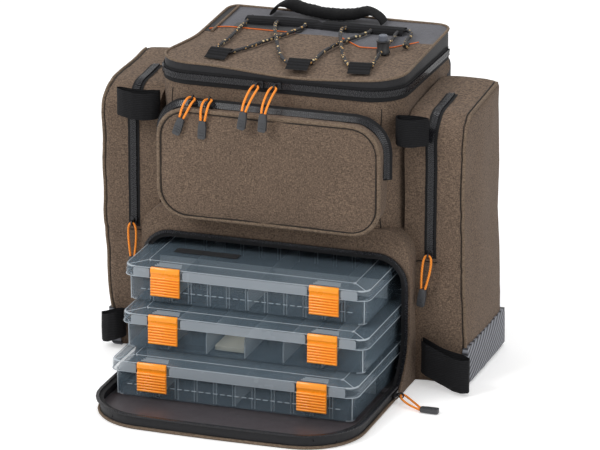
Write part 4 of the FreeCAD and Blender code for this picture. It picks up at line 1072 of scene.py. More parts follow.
b0, b1 = barrel_low.z, barrel_high.z
plunger_low, plunger_high = cad("cord_lock_plunger")
p0, p1 = plunger_low.z, plunger_high.z
turned("cord_lock", [(0.01, b0), (6.6, b0), (7.3, b0 + 0.7), (7.3, b0 + 3.5), (6.5, b0 + 5),
                     (6.5, b1 - 2.5), (7.3, b1 - 1.5), (7.3, b1 - 0.5), (6.9, b1), (5.4, b1),
                     (5.3, p0 - 4), (0.01, p0 - 4)], barrel_middle, black_plastic, "lid",
       "black_plastic", "cord_lock_barrel")
turned("cord_lock_button", [(0.01, p0), (4.9, p0), (4.9, p1 - 1), (4.2, p1 - 0.2), (3.2, p1),
                            (2.8, p1 - 0.4), (0.01, p1 - 0.6)], barrel_middle, grey_plastic,
       "plunger", "black_plastic", "cord_lock_plunger")

# ---------------------------------------------------------------------------
# Carry handle: a padded grip of black webbing whose two ends fold over and are sewn to
# the lid.  It sags between its shoulders, and its cover is gathered along the grip.


def sweep(bm, stations, segments=16, square=1.0):
    """A soft bar through stations: place, way across, way up, half width, half thickness."""
    last = None
    for place, across, up, half_wide, half_thick in stations:
        ring = bmesh.ops.create_circle(bm, segments=segments, radius=1.0)["verts"]
        for vert in ring:
            a, b = vert.co.x, vert.co.y
            a = math.copysign(abs(a) ** square, a)
            b = math.copysign(abs(b) ** square, b)
            vert.co = place + across * a * half_wide + up * b * half_thick
        edges = list({e for v in ring for e in v.link_edges if all(w in ring for w in e.verts)})
        if last is None:
            bmesh.ops.contextual_create(bm, geom=edges)
        else:
            bmesh.ops.bridge_loops(bm, edges=last + edges)
        last = edges
    bmesh.ops.contextual_create(bm, geom=last)


def along(points, across, wides, thicks, step):
    """Stations along a path, with widths and thicknesses given at its points."""
    lengths = run_length(points)
    result = []
    fine = spaced(points, step)
    fine_lengths = run_length(fine)
    for i, place in enumerate(fine):
        share = fine_lengths[i] / fine_lengths[-1] * lengths[-1]
        k = max(j for j in range(len(lengths) - 1) if lengths[j] <= share + 1e-6)
        part = (share - lengths[k]) / (lengths[k + 1] - lengths[k])
        ahead = (fine[min(i + 1, len(fine) - 1)] - fine[max(i - 1, 0)]).normalized()
        up = ahead.cross(across).normalized()
        wide = wides[k] + (wides[k + 1] - wides[k]) * part
        thick = thicks[k] + (thicks[k + 1] - thicks[k]) * part
        result.append((place, across, up, wide, thick))
    return result


def rounded_path(points, turns=3):
    """The same path with its corners cut again and again, which leaves it smooth."""
    for turn in range(turns):
        cut_points = [points[0]]
        for a, b in zip(points, points[1:]):
            cut_points += [a.lerp(b, 0.25), a.lerp(b, 0.75)]
        points = cut_points + [points[-1]]
    return points


HANDLE_BACK = 78
grip_cloth = satin("padded_grip", "#131314", 0.9, 1.3, 0.0008, 0.02, 0.15)
foot = cad("carry_handle")[0].z
arc = [(-64, foot + 0.8), (-62, foot + 5), (-56, foot + 11), (-48, foot + 13), (-40, foot + 12),
       (-26, foot + 7.5), (0, foot + 5), (24, foot + 6), (38, foot + 10), (46, foot + 12.5),
       (54, foot + 11), (61, foot + 6), (64, foot + 0.8)]
grip_line = rounded_path([Vector((x, HANDLE_BACK, z)) for x, z in arc], 2)
widths = [11 if abs(p.x) > 50 else 9.5 + 1.5 * abs(p.x) / 50 for p in grip_line]
thicks = [1.6 + 4.2 * ease((56 - abs(p.x)) / 16) for p in grip_line]
bm = bmesh.new()
sweep(bm, along(grip_line, BACK, widths, thicks, 2.0), 20, 0.8)
bm.normal_update()
for vert in bm.verts:
    gather = math.sin(vert.co.x * 1.15) * 0.25 + 0.7 * noise.noise(vert.co / 8)
    vert.co += vert.normal * gather * ease((60 - abs(vert.co.x)) / 20)
    clear_of_lid = foot + 0.05 if abs(vert.co.x) > 50 else lid_level(HANDLE_BACK) + 1.2
    vert.co.z = max(vert.co.z, clear_of_lid)
grip = piece("padded_handle", bm, grip_cloth, "handle", "webbing", "carry_handle", smooth=60)

# ---------------------------------------------------------------------------
# Zip sliders and pulls: small black zinc sliders, each with a loop of bright orange cord
# through its eye.  The loop's ends are moulded into a dark rubber grip.

painted_zinc = moulded("painted_zinc", "#1d1d20", 0.3, 0.9, 0.00005)
painted_zinc.node_tree.nodes["Principled BSDF"].inputs["Metallic"].default_value = 0.4
grip_rubber = moulded("grip_rubber", "#37383b", 0.5, 0.8, 0.0002)
orange_braid = braid("orange_braid", "#f07a10", "#ffa53c", None, 0.8)
# for each kind: the axis that its face points along and its sign, the axis that it runs
# along, and the axis of the hole through its eye
FACING = {"lid": (1, -1, 0, 0), "pocket": (2, 1, 0, 0), "side": (1, -1, 2, 0),
          "flap": (0, 1, 1, 1)}
EYE_RISE, EYE_RADIUS, WIRE_RADIUS = 8.5, 2.6, 0.85


def slider(name, kind, body, node):
    """A slider: a waisted body on the chain, a bridge, and an eye standing on it."""
    out, sense, run, hole = FACING[kind]
    low, high = cad(node)
    middle = (low + high) / 2
    foot = low[out] if sense > 0 else high[out]
    axes = [Vector([1.0 if i == axis else 0.0 for i in range(3)]) for axis in range(3)]
    ahead, face = axes[run], axes[out] * sense
    side = face.cross(ahead)
    bm = bmesh.new()
    plan = outline(bm, [(-5.6, -2.6, 0), (0, -3.2, 0), (5.6, -4.2, 0), (5.6, 4.2, 0),
                        (0, 3.2, 0), (-5.6, 2.6, 0)], [(1.4, (0, 2, 3, 5))], 3)
    raise_face(bm, plan, (0, 0, 3.4))
    bridge = outline(bm, [(-4.5, -1.1, 3.3), (4.5, -1.1, 3.3), (4.5, 1.1, 3.3),
                          (-4.5, 1.1, 3.3)], [(0.8, (0, 1, 2, 3))], 3)
    raise_face(bm, bridge, (0, 0, 1.8))
    soften(bm, bm.edges[:], 0.35, 2)
    matrix = Matrix((ahead, side, face)).transposed().to_4x4()
    place = middle.copy()
    place[out] = foot
    matrix.translation = place
    bmesh.ops.transform(bm, matrix=matrix, verts=bm.verts[:])
    ring_middle = place + face * EYE_RISE
    ring_side = axes[hole]
    start = bmesh.ops.create_circle(bm, segments=8, radius=WIRE_RADIUS)["verts"]
    for vert in start:
        vert.co = ring_middle + face * (EYE_RADIUS + vert.co.x) + ring_side * vert.co.y * 1.3
    bmesh.ops.spin(bm, geom=start + list({e for v in start for e in v.link_edges}),
                   cent=ring_middle, axis=ring_side, angle=math.tau, steps=20, use_merge=True)
    return piece(name, bm, painted_zinc, body, "slider_metal", node, smooth=35)


PULL_ROUTES = {
    "lid": [(-2.0, -31.5, -20), (-2.8, -29, -13), (-3.4, -13, -3), (-3.4, 0, 0)],
    "pocket": [(-2.2, -19.5, -18), (-3.4, -19, -9), (-3.6, -12, 0), (-3.6, 0, 0)],
    "side": [(-2.2, 0, -38), (-4.6, 0.5, -22), (-4.5, 0, 0)]}
FLAP_ROUTE = [(27, -20.2, -5.5), (13, -12.5, -5.5), (0, -6.2, 0), (0, 6.2, 0), (13, 0.5, -5.5),
              (27, -15.8, -5.5)]
EYES = {"lid_left": (-17, -110.3, 322.3), "lid_right": (3, -110.3, 322.3),
        "pocket_left": (-87, -114.5, 303.3), "pocket_right": (-68, -114.5, 303.3),
        "side_left": (-168, -88.8, 146), "side_right": (168, -88.8, 146),
        "flap": (158.8, -150.6, 9)}
LEANS = {"lid_left": 9, "lid_right": 4, "pocket_left": 19, "pocket_right": 3, "side_right": 8}
PULL_CORD = 2.5          # thickness
for name, eye in EYES.items():
    kind = name.split("_")[0]
    body = "flap" if kind == "flap" else "slider_" + name
    slider("zip_slider_" + name, kind, body, "slider_" + name)
    if kind == "flap":
        route = FLAP_ROUTE
    else:
        leg = PULL_ROUTES[kind]
        route = leg + [(-x, y, z) for x, y, z in reversed(leg)]
    lean = Matrix.Rotation(math.radians(LEANS.get(name, 0)), 4, "Y")
    hung = Matrix.Translation(eye) @ lean @ Matrix.Translation(-Vector(eye))
    places = [tuple(hung @ (Vector(eye) + Vector(step))) for step in route]
    cord = cord_line("orange_cord_" + name, places, PULL_CORD)
    cord.data.materials.append(orange_braid)
    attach(cord, "pull_" + name)
    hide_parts("pull_cord_" + name)

    # the grip: a flat moulding with a chamfered end and three ribs across each face
    low, high = cad("pull_tip_" + name)
    middle, sizes = (low + high) / 2, high - low
    length_axis = max(range(3), key=lambda i: sizes[i])
    thick_axis = min(range(3), key=lambda i: sizes[i])
    wide_axis = 3 - length_axis - thick_axis
    bm = bmesh.new()
    plan = outline(bm, [(-10.4, -3.4, -2.4), (-3, -4.3, -2.4), (9.5, -4.4, -2.4),
                        (9.5, 4.4, -2.4), (-3, 4.3, -2.4), (-10.4, 3.4, -2.4)],
                   [(2.2, (2, 3)), (1.0, (0, 5))], 4)
    raise_face(bm, plan, (0, 0, 4.8))
    soften(bm, bm.edges[:], 0.7, 2)
    for rib in (0, 3, 6):
        for level in (-2.5, 2.5):
            bmesh.ops.create_cube(bm, size=1.0, matrix=Matrix.Translation((rib, 0, level))
                                  @ Matrix.Diagonal((1.1, 6.4, 0.7, 1)))
    toward = 1.0 if kind == "flap" else -1.0
    length_way = Vector([toward if i == length_axis else 0.0 for i in range(3)])
    wide_way = Vector([1.0 if i == wide_axis else 0.0 for i in range(3)])
    matrix = Matrix((length_way, wide_way, length_way.cross(wide_way))).transposed().to_4x4()
    matrix.translation = middle
    bmesh.ops.transform(bm, matrix=hung @ matrix, verts=bm.verts[:])
    tip = piece("pull_grip_" + name, bm, grip_rubber, "pull_" + name, "pull_rubber",
                "pull_tip_" + name, smooth=35)

# ---------------------------------------------------------------------------
# Flap: the compartment's front, unzipped and laid on the ground.  It is a brown cloth
# tray with a dark satin lining, a low black wall, and the chain round its rim.

flap_low, flap_high = cad("flap_panel")
F_LEFT, F_RIGHT, F_FRONT, F_REAR = flap_low.x, flap_high.x, flap_low.y, flap_high.y
FLAP_ROUND = 60
FLAP_CORNERS = plan_box(F_LEFT, F_FRONT, F_RIGHT, F_REAR)


def flap_bow(place):
    """The flap's front edge bows forwards a little."""
    moved = place.copy()
    nearness = ease((-place.y - 240) / 60)
    moved.y -= 5 * nearness * math.cos((place.x - 5) / 160 * math.pi / 2)
    return moved


bm = bmesh.new()
floor_face = outline(bm, FLAP_CORNERS, [(FLAP_ROUND, (0, 1))], 10)
raise_face(bm, floor_face, (0, 0, 2.6))
cells(bm, 9, (0, 1))
for vert in bm.verts:
    vert.co = flap_bow(vert.co)
    inside = vert.co.z > 1
    vert.co.z = (3.2 + 0.8 * noise.noise(vert.co / 40)) if inside else 0.15
piece("flap_outer_cloth", bm, brown_cloth, "flap", "heather_fabric", "flap_panel", smooth=60)
bm = bmesh.new()
inner = outline(bm, plan_box(F_LEFT + 3, F_FRONT + 3, F_RIGHT - 3, F_REAR),
                [(FLAP_ROUND - 3, (0, 1))], 10)
raise_face(bm, inner, (0, 0, 0.8))
cells(bm, 7, (0, 1))
for vert in bm.verts:
    vert.co = flap_bow(vert.co)
    lift = 0.8 if vert.co.z > 0.4 else 0
    vert.co.z = 4.2 + lift + 1.1 * noise.noise(Vector((vert.co.x / 33, vert.co.y / 22, 3)))
satin_lining = satin("satin_lining", "#352f33", 0.42, 1.6, 0.0002, 0.1, 0.45)
piece("flap_lining", bm, satin_lining, "flap", "lining", smooth=60)

wall_seam = seam_path(FLAP_CORNERS, [(FLAP_ROUND, (0, 1))], 4)
wall_seam = [flap_bow(place) for place in wall_seam]
wall_frames = faced(frames(wall_seam, across=UP), -BACK)
WALL = flap_high.z - 1
bm = bmesh.new()
strip(bm, wall_frames, WALL - 1.5, 1.6, lift=-1.2, shift=(WALL - 1.5) / 2 + 1.8)
cells(bm, 6)
crease(bm, 0.5, 22, 6.0)
piece("flap_wall", bm, band_cloth, "flap", "zip_tape", smooth=60)
welt("flap_piping", [item[0] + item[3] * 0.3 + UP * 2.2 for item in wall_frames], 1.6, piping,
     "flap")
chain_frames = [(place + UP * (WALL + 0.6), ahead, face, UP)
                for place, ahead, side, face in wall_frames]
zip_run("flap_zip", chain_frames, "flap", (1,), 6.5, ("flap_zip",), shift=-1.8, lift=0.2)

# the strip of cloth that joins the flap to the base, folded along the hinge line
bm = bmesh.new()
outline(bm, plan_box(F_LEFT + 4, F_REAR - 14, F_RIGHT - 4, F_REAR + 16, 0.5))
cells(bm, 4, (1,))
cells(bm, 12, (0,))
for vert in bm.verts:
    back = (vert.co.y - (F_REAR - 14)) / 30
    vert.co.z = 4.9 + 1.4 * ease(back)
thicken(bm, 0.8)
hinge_cloth = piece("flap_hinge_cloth", bm, satin_lining, None, "lining", smooth=60)
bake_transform(hinge_cloth)

# ---------------------------------------------------------------------------
# Tackle boxes: clear injection-moulded polypropylene, smoky where it is seen edge on.
# Each has a ribbed tray with a flange, and a lid with a raised panel on its top.
# Lighter copies of the plastic paint highlights on its edges, skirt, ribs and dividers.


def clear(name, colour, faint, strong, rough):
    """Clear polypropylene: it lets most light through and shows its edges and its gloss."""
    material, tree, shader = start_material(name)
    coordinates = add(tree, "ShaderNodeTexCoord")
    flow = add(tree, "ShaderNodeTexNoise", {"Vector": coordinates.outputs["Object"],
                                            "Scale": 45.0, "Detail": 2.0})
    edge = add(tree, "ShaderNodeLayerWeight", {"Blend": 0.35})
    seen = add(tree, "ShaderNodeMapRange", {"Value": edge.outputs["Facing"], "To Min": faint,
                                            "To Max": strong})
    gloss = add(tree, "ShaderNodeMapRange", {"Value": flow.outputs["Fac"], "To Min": rough,
                                             "To Max": rough + 0.12})
    feed(tree, shader, {"Alpha": seen.outputs["Result"], "Roughness": gloss.outputs["Result"],
                        "Base Color": linear(colour), "IOR": 1.49})
    return material


clear_wall = clear("clear_polypropylene", "#71828f", 0.14, 0.5, 0.12)
# lighter copies of the same clear plastic paint highlights: on bevelled edges and rim lines, on
# the front skirt, and on ribs and dividers
clear_edge_highlight = clear("polypropylene_painted_edge_highlight", "#c3ccd3", 0.55, 0.85, 0.1)
# the skirt's lighter copy of the plastic is a painted highlight
skirt_highlight_plastic = clear("polypropylene_skirt_painted_highlight", "#a9b2ba", 0.5, 0.72, 0.2)
# the ribs' lighter copy of the plastic is a painted highlight
rib_highlight_plastic = clear("polypropylene_rib_painted_highlight", "#b9c3ca", 0.5, 0.8, 0.15)
sticker = satin("plain_sticker", "#17171a", 0.35, 1.5, 0.00005)
pale_foam = moulded("pale_foam", "#d9d5c2", 0.85, 1.6, 0.0006)
BOX_SHIFT = {"bottom": 1.7, "middle": 2.2, "top": -6.8}


def edge_highlight_faces(bm, limit):
    """Small faces left by bevels take the brighter copy of the plastic, a painted highlight on the
    edges.
    """
    for face in bm.faces:
        if face.calc_area() < limit:
            face.material_index = 1


def bar(bm, low, high):
    """A small moulded rib between two corners."""
    middle = (Vector(low) + Vector(high)) / 2
    sizes = Vector(high) - Vector(low)
    bmesh.ops.create_cube(bm, size=1.0, matrix=Matrix.Translation(middle)
                          @ Matrix.Diagonal((*sizes, 1)))


def plate(bm, start, end, front, low, high):
    """A thin rounded plate on the lid's skirt between two places along the front."""
    face = outline(bm, front_box(start, low, end, high, front - 0.3),
                   [(2.2, (0, 1, 2, 3))], 3)
    raise_face(bm, face, (0, -0.7, 0))


ALL_FOUR = (0, 1, 2, 3)
# faces below this size get the painted edge highlight
FAINT_AREA = 14          # faces smaller than this, in square mm, are edges
RIB_PITCH, RIB_HALF = 21.5, 0.4
BEAD_PITCH, BEAD_HALF = 8, 2.6
BAY = 43                 # width of a box's bay between dividers
LATCH_SPREAD = 89        # from a box's middle to each latch
for box_name, shift in BOX_SHIFT.items():
    body = "box_" + box_name
    cover_low, cover_high = cad("box_lid_" + box_name)
    x0, x1, y0, y1 = cover_low.x, cover_high.x, cover_low.y, cover_high.y
    joint, top, base = cover_low.z, cover_high.z, cad("box_tray_" + box_name)[0].z
    mid_y = (y0 + y1) / 2

    # the lid: a skirt, a sloping border and a raised panel whose corners leave diagonals
    bm = bmesh.new()
    last = None
    for inset, level, radius in ((0, joint + 0.3, 11), (0.6, top - 2.6, 11), (2.2, top - 1.5, 10),
                                 (21, top - 1.1, 2.5), (21.8, top - 0.4, 2.2)):
        ring_face = outline(bm, plan_box(x0 + inset, y0 + inset, x1 - inset, y1 - inset, level),
                            [(radius, ALL_FOUR)], 5)
        ring = list(ring_face.edges)
        if last is not None:
            bmesh.ops.delete(bm, geom=[last_face], context="FACES_ONLY")
            bmesh.ops.bridge_loops(bm, edges=last + ring)
        last, last_face = ring, ring_face
    bmesh.ops.recalc_face_normals(bm, faces=bm.faces[:])
    thicken(bm, 1.2)
    edge_highlight_faces(bm, FAINT_AREA)
    piece("box_cover_" + box_name, bm, [clear_wall, clear_edge_highlight], body, "clear_plastic",
          "box_lid_" + box_name, smooth=25)

    # the tray, drawn in a little towards its floor, with a flange under the lid's skirt
    bm = bmesh.new()
    face = outline(bm, plan_box(x0 + 4, y0 + 4, x1 - 4, y1 - 4, joint - 0.2), [(8, ALL_FOUR)], 5)
    raise_face(bm, face, (0, 0, base - joint + 0.4))
    for vert in bm.verts:
        if vert.co.z < base + 1:
            vert.co.x += 1.2 if vert.co.x < shift else -1.2
            vert.co.y += 1.2 if vert.co.y < mid_y else -1.2
    foot = [e for e in bm.edges if all(v.co.z < base + 1 for v in e.verts)]
    soften(bm, foot, 1.6, 3)
    bm.normal_update()
    bmesh.ops.delete(bm, geom=[f for f in bm.faces if f.calc_center_median().z > joint - 0.5],
                     context="FACES")
    bmesh.ops.recalc_face_normals(bm, faces=bm.faces[:])
    thicken(bm, 1.3)
    flange = outline(bm, plan_box(x0 + 0.3, y0 + 0.3, x1 - 0.3, y1 - 0.3, joint - 1.7),
                     [(11, ALL_FOUR)], 5)
    grown = bmesh.ops.inset_region(bm, faces=[flange], thickness=5, use_even_offset=True)
    ring = grown["faces"]
    bmesh.ops.delete(bm, geom=[flange], context="FACES")
    bmesh.ops.solidify(bm, geom=ring, thickness=-1.4)
    edge_highlight_faces(bm, FAINT_AREA)
    piece("box_tray_" + box_name + "_shell", bm, [clear_wall, clear_edge_highlight], body,
          "clear_plastic", "box_tray_" + box_name, smooth=25)

    # the skirt stands proud along the front, with gaps for the latches; its plates are a lighter
    # copy of the plastic, a painted highlight
    latch_low, latch_high = cad("latch_%s_left" % box_name)
    other_low, other_high = cad("latch_%s_right" % box_name)
    bm = bmesh.new()
    for start, end in ((x0 + 12, latch_low.x - 2), (latch_high.x + 3, other_low.x - 3),
                       (other_high.x + 2, x1 - 12)):
        plate(bm, start, end, y0, joint + 0.6, top - 2.3)
    piece("box_skirt_" + box_name, bm, skirt_highlight_plastic, body, "clear_plastic", smooth=25)
    # thin lines round the rim, the lip and the panel, and the diagonals and posts at the corners,
    # are painted highlights in the lighter copy of the plastic
    for line_name, inset, level, radius, thick in (
            ("rim", 1.0, top - 1.9, 11, 0.5), ("lip", 0.1, joint + 0.4, 11, 0.5),
            ("panel", 21.4, top - 0.6, 2.5, 0.35)):
        ring = seam_path(plan_box(x0 + inset, y0 + inset, x1 - inset, y1 - inset, level),
                         [(radius, ALL_FOUR)], 4, False)
        welt("box_%s_%s" % (line_name, box_name), ring, thick, clear_edge_highlight, body,
             True)
    for number, (across, back) in enumerate(((x0, y0), (x1, y0), (x1, y1), (x0, y1))):
        corner = Vector((across, back, top - 1.6))
        inward = Vector((1 if across == x0 else -1, 1 if back == y0 else -1, 0))
        for line_name, thick, start, rise_0, end, rise_1 in (
                ("diagonal", 0.4, 4, 0, 21, 1.0),
                ("post", 0.6, 6.8, base + 3 - top, 6.6, joint - top)):
            line = [corner + inward * start + UP * rise_0, corner + inward * end + UP * rise_1]
            welt("box_%s_%s_%d" % (line_name, box_name, number + 1), line, thick, clear_edge_highlight,
                 body)

    # pairs of ribs inside the front and rear walls take loose dividers, and a broken
    # line of short beads is moulded at half height; three fine ribs lie behind each latch
    bm = bmesh.new()
    front, rear = y0 + 5.5, y1 - 5.5
    if box_name != "middle":
        for k in range(-5, 6):
            for step in (-1.6, 1.6):
                across = shift + k * RIB_PITCH + step
                for near, far in ((front + 1, front + 2.6), (rear - 2.6, rear - 1)):
                    bar(bm, (across - RIB_HALF, near, base + 2),
                        (across + RIB_HALF, far, joint - 3))
        half_way = (base + joint) / 2
        for k in range(30):
            across = shift - 116 + k * BEAD_PITCH
            bar(bm, (across - BEAD_HALF, front - 2.1, half_way - 0.35),
                (across + BEAD_HALF, front - 1.2, half_way + 0.35))
        for k in range(-2, 3, 2):
            across = shift + k * BAY
            bar(bm, (across - 0.5, front + 3, base + 2), (across + 0.5, rear - 3, joint - 6))
        bar(bm, (x0 + 8, mid_y - 0.5, base + 2), (x1 - 8, mid_y + 0.5, joint - 6))
    for sign in (-1, 1):
        middle = shift + sign * LATCH_SPREAD
        for k in range(3):
            bar(bm, (middle - 15 + k, y0 + 7 + 4 * k, top - 1.6),
                (middle + 15 - k, y0 + 7.7 + 4 * k, top - 0.3))
    # the ribs take the lighter copy of the plastic, a painted highlight
    piece("box_ribs_" + box_name, bm, rib_highlight_plastic, body, "clear_plastic", smooth=25)

    # a plain black sticker towards the rear left of the panel
    bm = bmesh.new()
    patch_face = outline(bm, plan_box(x0 + 38, y0 + 52, x0 + 110, y0 + 66, top - 0.05),
                         [(1.5, ALL_FOUR)], 3)
    raise_face(bm, patch_face, (0, 0, 0.15))
    piece("box_sticker_" + box_name, bm, sticker, body, "label_patch", smooth=25)

# the middle box's dividers, with a slab of pale foam for hooks in one bay; the dividers are drawn
# in the lighter copy of the plastic, a painted highlight
divider_low, divider_high = cad("box_dividers")
bm = bmesh.new()
for count in range(-2, 3):
    across = BOX_SHIFT["middle"] + BAY * count
    face = outline(bm, [(across - 0.55, divider_low.y, divider_low.z + 0.2),
                        (across - 0.55, divider_high.y, divider_low.z + 0.2),
                        (across - 0.55, divider_high.y, divider_high.z),
                        (across - 0.55, divider_low.y, divider_high.z)],
                   [(5, (2, 3))], 4)
    raise_face(bm, face, (1.1, 0, 0))
piece("box_divider_plates", bm, rib_highlight_plastic, "box_middle", "clear_plastic", "box_dividers",
      smooth=25)
bm = bmesh.new()
face = outline(bm, plan_box(-37, divider_low.y + 14, -3, divider_low.y + 62,
                            divider_low.z + 0.4), [(2, ALL_FOUR)], 3)
raise_face(bm, face, (0, 0, 5))
soften(bm, bm.edges[:], 0.5, 2)
piece("hook_foam", bm, pale_foam, "box_middle", "foam", smooth=35)

# ---------------------------------------------------------------------------
# Latches: bright orange acetal, each hinged on the lid's edge and snapped down over the
# flange.  Seven ridges across the face give the thumb its hold.

acetal = moulded("orange_acetal", "#ff9a1e", 0.3, 1.2, 0.00004)
acetal.node_tree.nodes["Principled BSDF"].inputs["Coat Weight"].default_value = 0.15
for box_name in BOX_SHIFT:
    for side in ("left", "right"):
        node = "latch_%s_%s" % (box_name, side)
        low, high = cad(node)
        face_y, rear_y = low.y + 1.7, high.y
        profile = [(rear_y, low.z + 0.6), (face_y + 0.6, low.z)]
        for k in range(7):
            level = low.z + 0.6 + k * 3.1
            profile += [(face_y, level), (low.y + 0.4, level + 0.45), (low.y, level + 1.2),
                        (low.y + 0.1, level + 1.9), (low.y + 0.5, level + 2.5),
                        (face_y, level + 2.8)]
        profile += [(face_y, low.z + 24), (low.y + 0.3, high.z - 5.5), (low.y + 0.7, high.z - 2),
                    (low.y + 2, high.z - 0.2), (rear_y, high.z)]
        bm = bmesh.new()
        side_face = outline(bm, [(low.x, y, z) for y, z in profile])
        raise_face(bm, side_face, (high.x - low.x, 0, 0))
        bm.normal_update()
        ends = [e for e in bm.edges if len(e.link_faces) == 2
                and any(abs(f.normal.x) > 0.9 for f in e.link_faces)]
        soften(bm, ends, 0.5, 2)
        piece("orange_" + node, bm, acetal, node, "latch_plastic", node, smooth=30)

# ---------------------------------------------------------------------------
# Back of the pack: a padded panel of black air mesh with two upright cushions, and the
# padded shoulder straps with their webbing tails and buckles.


def air_mesh(name, colour, light):
    """Spacer mesh: a knitted honeycomb about 3 mm across over black foam."""
    material, tree, shader = start_material(name)
    coordinates = add(tree, "ShaderNodeTexCoord")
    holes = add(tree, "ShaderNodeTexVoronoi", {"Vector": coordinates.outputs["Object"],
                                               "Scale": 1000 / 3.0, "Randomness": 0.25})
    ramp = add(tree, "ShaderNodeValToRGB", {"Fac": holes.outputs["Distance"]})
    ramp.color_ramp.elements[0].position = 0.2
    ramp.color_ramp.elements[0].color = linear(colour)
    ramp.color_ramp.elements[1].position = 0.5
    ramp.color_ramp.elements[1].color = linear(light)
    bump = add(tree, "ShaderNodeBump", {"Height": holes.outputs["Distance"], "Strength": 0.6,
                                        "Distance": 0.0012})
    feed(tree, shader, {"Base Color": ramp.outputs["Color"], "Normal": bump.outputs["Normal"],
                        "Roughness": 0.9})
    return material


mesh_cloth = air_mesh("spacer_mesh", "#101012", "#343438")
BACK_FACE = back_high.y
bm = bmesh.new()
BACK_PLAN = [(-150, 6), (150, 6), (150, 146), (136, 162), (136, RIM - 0.5), (-136, RIM - 0.5),
             (-136, 162), (-150, 146)]
back_outline = outline(bm, [(x, BACK_FACE - 0.5, z) for x, z in BACK_PLAN],
                       [(15, (4, 5)), (10, (0, 1))], 5)
raise_face(bm, back_outline, (0, back_low.y - BACK_FACE + 1, 0))
cells(bm, 8, (0, 2))
for vert in bm.verts:
    if vert.co.y < BACK_FACE - 5:
        continue
    x, z = vert.co.x, vert.co.z
    edge = min(1, (150 - abs(x)) / 16) * min(1, (z - 6) / 14 if z < 160 else (RIM - z) / 14)
    cushion = ease((44 - abs(abs(x) - 62)) / 14) * ease((z - 24) / 20) * ease((300 - z) / 20)
    channel = sum(math.exp(-((z - level) / 5) ** 2) for level in (92, 160, 228))
    vert.co.y += -5 * (1 - max(0, edge)) + 2.5 * cushion * (1 - 0.7 * min(1, channel)) - 2.5
back_pad = piece("back_padding", bm, mesh_cloth, "root", "back_mesh", "back_panel", smooth=60)

HARNESS_ACROSS = 62      # from the middle to each shoulder strap
# how far the strap stands off the back, and how far below the rim
HARNESS = [(0, -22), (16, -40), (30, -80), (34, -120), (26, -165), (12, -205)]
buckle_low, buckle_high = cad("strap_buckles")
for side, sign in SIDES:
    middle_x = sign * HARNESS_ACROSS
    points = rounded_path([Vector((sign * (HARNESS_ACROSS + 5 * math.sin(k * 0.9)),
                                   BACK_FACE + 6.5 + y, RIM + z))
                           for k, (y, z) in enumerate(HARNESS)], 2)
    count = len(points)
    wides = [22 + 8.5 * ease(i / count * 3) * ease((count - i) / count * 2.6)
             for i in range(count)]
    thicks = [3.2 + 2.8 * ease(i / count * 5) * ease((count - i) / count * 4)
              for i in range(count)]
    bm = bmesh.new()
    sweep(bm, along(points, RIGHT, wides, thicks, 4), 20, 0.7)
    crease(bm, 0.5, 24, 2.0 + sign)
    for vert in bm.verts:
        vert.co.y = max(vert.co.y, BACK_FACE + 0.4)
    strap = piece("shoulder_pad_" + side, bm, mesh_cloth, "root", "back_mesh",
                  *(["shoulder_straps"] if side == "left" else []), smooth=60)
    tail = rounded_path([Vector((middle_x, BACK_FACE + y, z)) for y, z in
                         ((19.5, RIM - 150), (18, RIM - 205), (16, RIM - 225),
                          (10, RIM - 245), (6, 60), (1.2, 16))], 2)
    bm = bmesh.new()
    strip(bm, frames(spaced(tail, 5), across=RIGHT), 25, 1.8)
    piece("strap_tail_" + side, bm, band, "root", "webbing",
          *(["shoulder_webbing"] if side == "left" else []), smooth=60)
    # the ladder buckle: a frame with two bars that the tail is threaded through
    bm = bmesh.new()
    low_z, high_z = buckle_low.z, buckle_high.z
    frame_face = outline(bm, front_box(middle_x - 16, low_z, middle_x + 16, high_z,
                                       BACK_FACE + 14.8), [(4, ALL_FOUR)], 4)
    bmesh.ops.inset_region(bm, faces=[frame_face], thickness=3.2, use_even_offset=True)
    bmesh.ops.delete(bm, geom=[frame_face], context="FACES")
    thicken(bm, 4.5)
    for level in (low_z + 7.5, low_z + 14, low_z + 20):
        bar(bm, (middle_x - 14, BACK_FACE + 15.5, level),
            (middle_x + 14, BACK_FACE + 19.5, level + 3.4))
    piece("ladder_buckle_" + side, bm, black_plastic, "root", "black_plastic",
          *(["strap_buckles"] if side == "left" else []), smooth=30)

# ---------------------------------------------------------------------------
# Base: a stiff board under coarse black nylon, with the same cloth on its edges.

base_cloth = satin("coarse_base_nylon", "#1a1a1d", 0.7, 2.2, 0.0008)
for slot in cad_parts["base_panel"].material_slots:
    slot.material = base_cloth

# ---------------------------------------------------------------------------
# Floor, light and camera: a pale seamless floor, a broad soft light over the left
# shoulder, a weaker one from the right, and a long lens a little above the pack.

floor_paint, floor_tree, floor_shader = start_material("white_floor")
floor_place = add(floor_tree, "ShaderNodeTexCoord")
grain = add(floor_tree, "ShaderNodeTexNoise", {"Vector": floor_place.outputs["Object"],
                                               "Scale": 900.0, "Detail": 2.0})
floor_rough = add(floor_tree, "ShaderNodeMapRange", {"Value": grain.outputs["Fac"],
                                                     "To Min": 0.75, "To Max": 0.9})


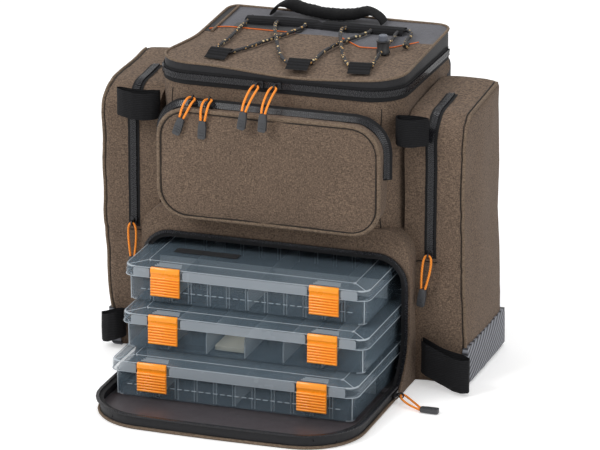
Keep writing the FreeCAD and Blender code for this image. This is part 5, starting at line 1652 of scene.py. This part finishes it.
def seen_rays(tree, unseen, seen):
    """A strength with one value for the rays that reach the eye, and another for the rest."""
    rays = add(tree, "ShaderNodeLightPath")
    direct = add(tree, "ShaderNodeMath", {0: rays.outputs["Is Camera Ray"],
                                          1: rays.outputs["Is Glossy Ray"]}, operation="MAXIMUM")
    through = add(tree, "ShaderNodeMath", {0: direct.outputs[0],
                                           1: rays.outputs["Is Transmission Ray"]},
                  operation="MAXIMUM")
    return add(tree, "ShaderNodeMapRange", {"Value": through.outputs[0], "To Min": unseen,
                                            "To Max": seen}).outputs["Result"]


feed(floor_tree, floor_shader, {"Roughness": floor_rough.outputs["Result"],
                                "Base Color": linear("#fbfbfb"), "Emission Color": (1, 1, 1, 1),
                                "Emission Strength": seen_rays(floor_tree, 0.0, 0.32)})
bm = bmesh.new()
bmesh.ops.create_grid(bm, x_segments=8, y_segments=8, size=12.0)
floor_mesh = bpy.data.meshes.new("floor")
bm.to_mesh(floor_mesh)
bm.free()
floor_mesh.materials.append(floor_paint)
show("floor", floor_mesh)

world = bpy.data.worlds.new("studio")
world.use_nodes = True
bpy.context.scene.world = world
feed(world.node_tree, world.node_tree.nodes["Background"],
     {"Color": (1, 1, 1, 1), "Strength": seen_rays(world.node_tree, 0.48, 1.0)})


def softbox(name, place, aim, size, power):
    """A square soft light that points at a place."""
    lamp = bpy.data.lights.new(name, "AREA")
    lamp.shape = "SQUARE"
    lamp.size = size
    lamp.energy = power
    item = show(name, lamp)
    item.location = place
    item.rotation_euler = (Vector(aim) - Vector(place)).to_track_quat("-Z", "Y").to_euler()


softbox("key", (-1.5, -1.9, 2.1), (0, 0, 0.15), 1.3, 44)
softbox("fill", (2.3, -1.4, 1.3), (0, 0, 0.15), 1.8, 17)
softbox("top", (0.1, 0.3, 2.4), (0, 0, 0.2), 1.4, 17)

AZIMUTH, ELEVATION, DISTANCE = math.radians(18.94), math.radians(18.73), 4.8
target = Vector((-0.00607, 0, 0.13296))
eye = target + DISTANCE * Vector((math.sin(AZIMUTH) * math.cos(ELEVATION),
                                  -math.cos(AZIMUTH) * math.cos(ELEVATION),
                                  math.sin(ELEVATION)))
lens = bpy.data.cameras.new("camera")
lens.sensor_width = 36
lens.lens = 263.9
lens.clip_end = 50
camera = show("camera", lens)
camera.location = eye
camera.rotation_euler = (target - eye).to_track_quat("-Z", "Y").to_euler()
bpy.context.scene.camera = camera
bpy.context.scene.view_settings.view_transform = "Standard"
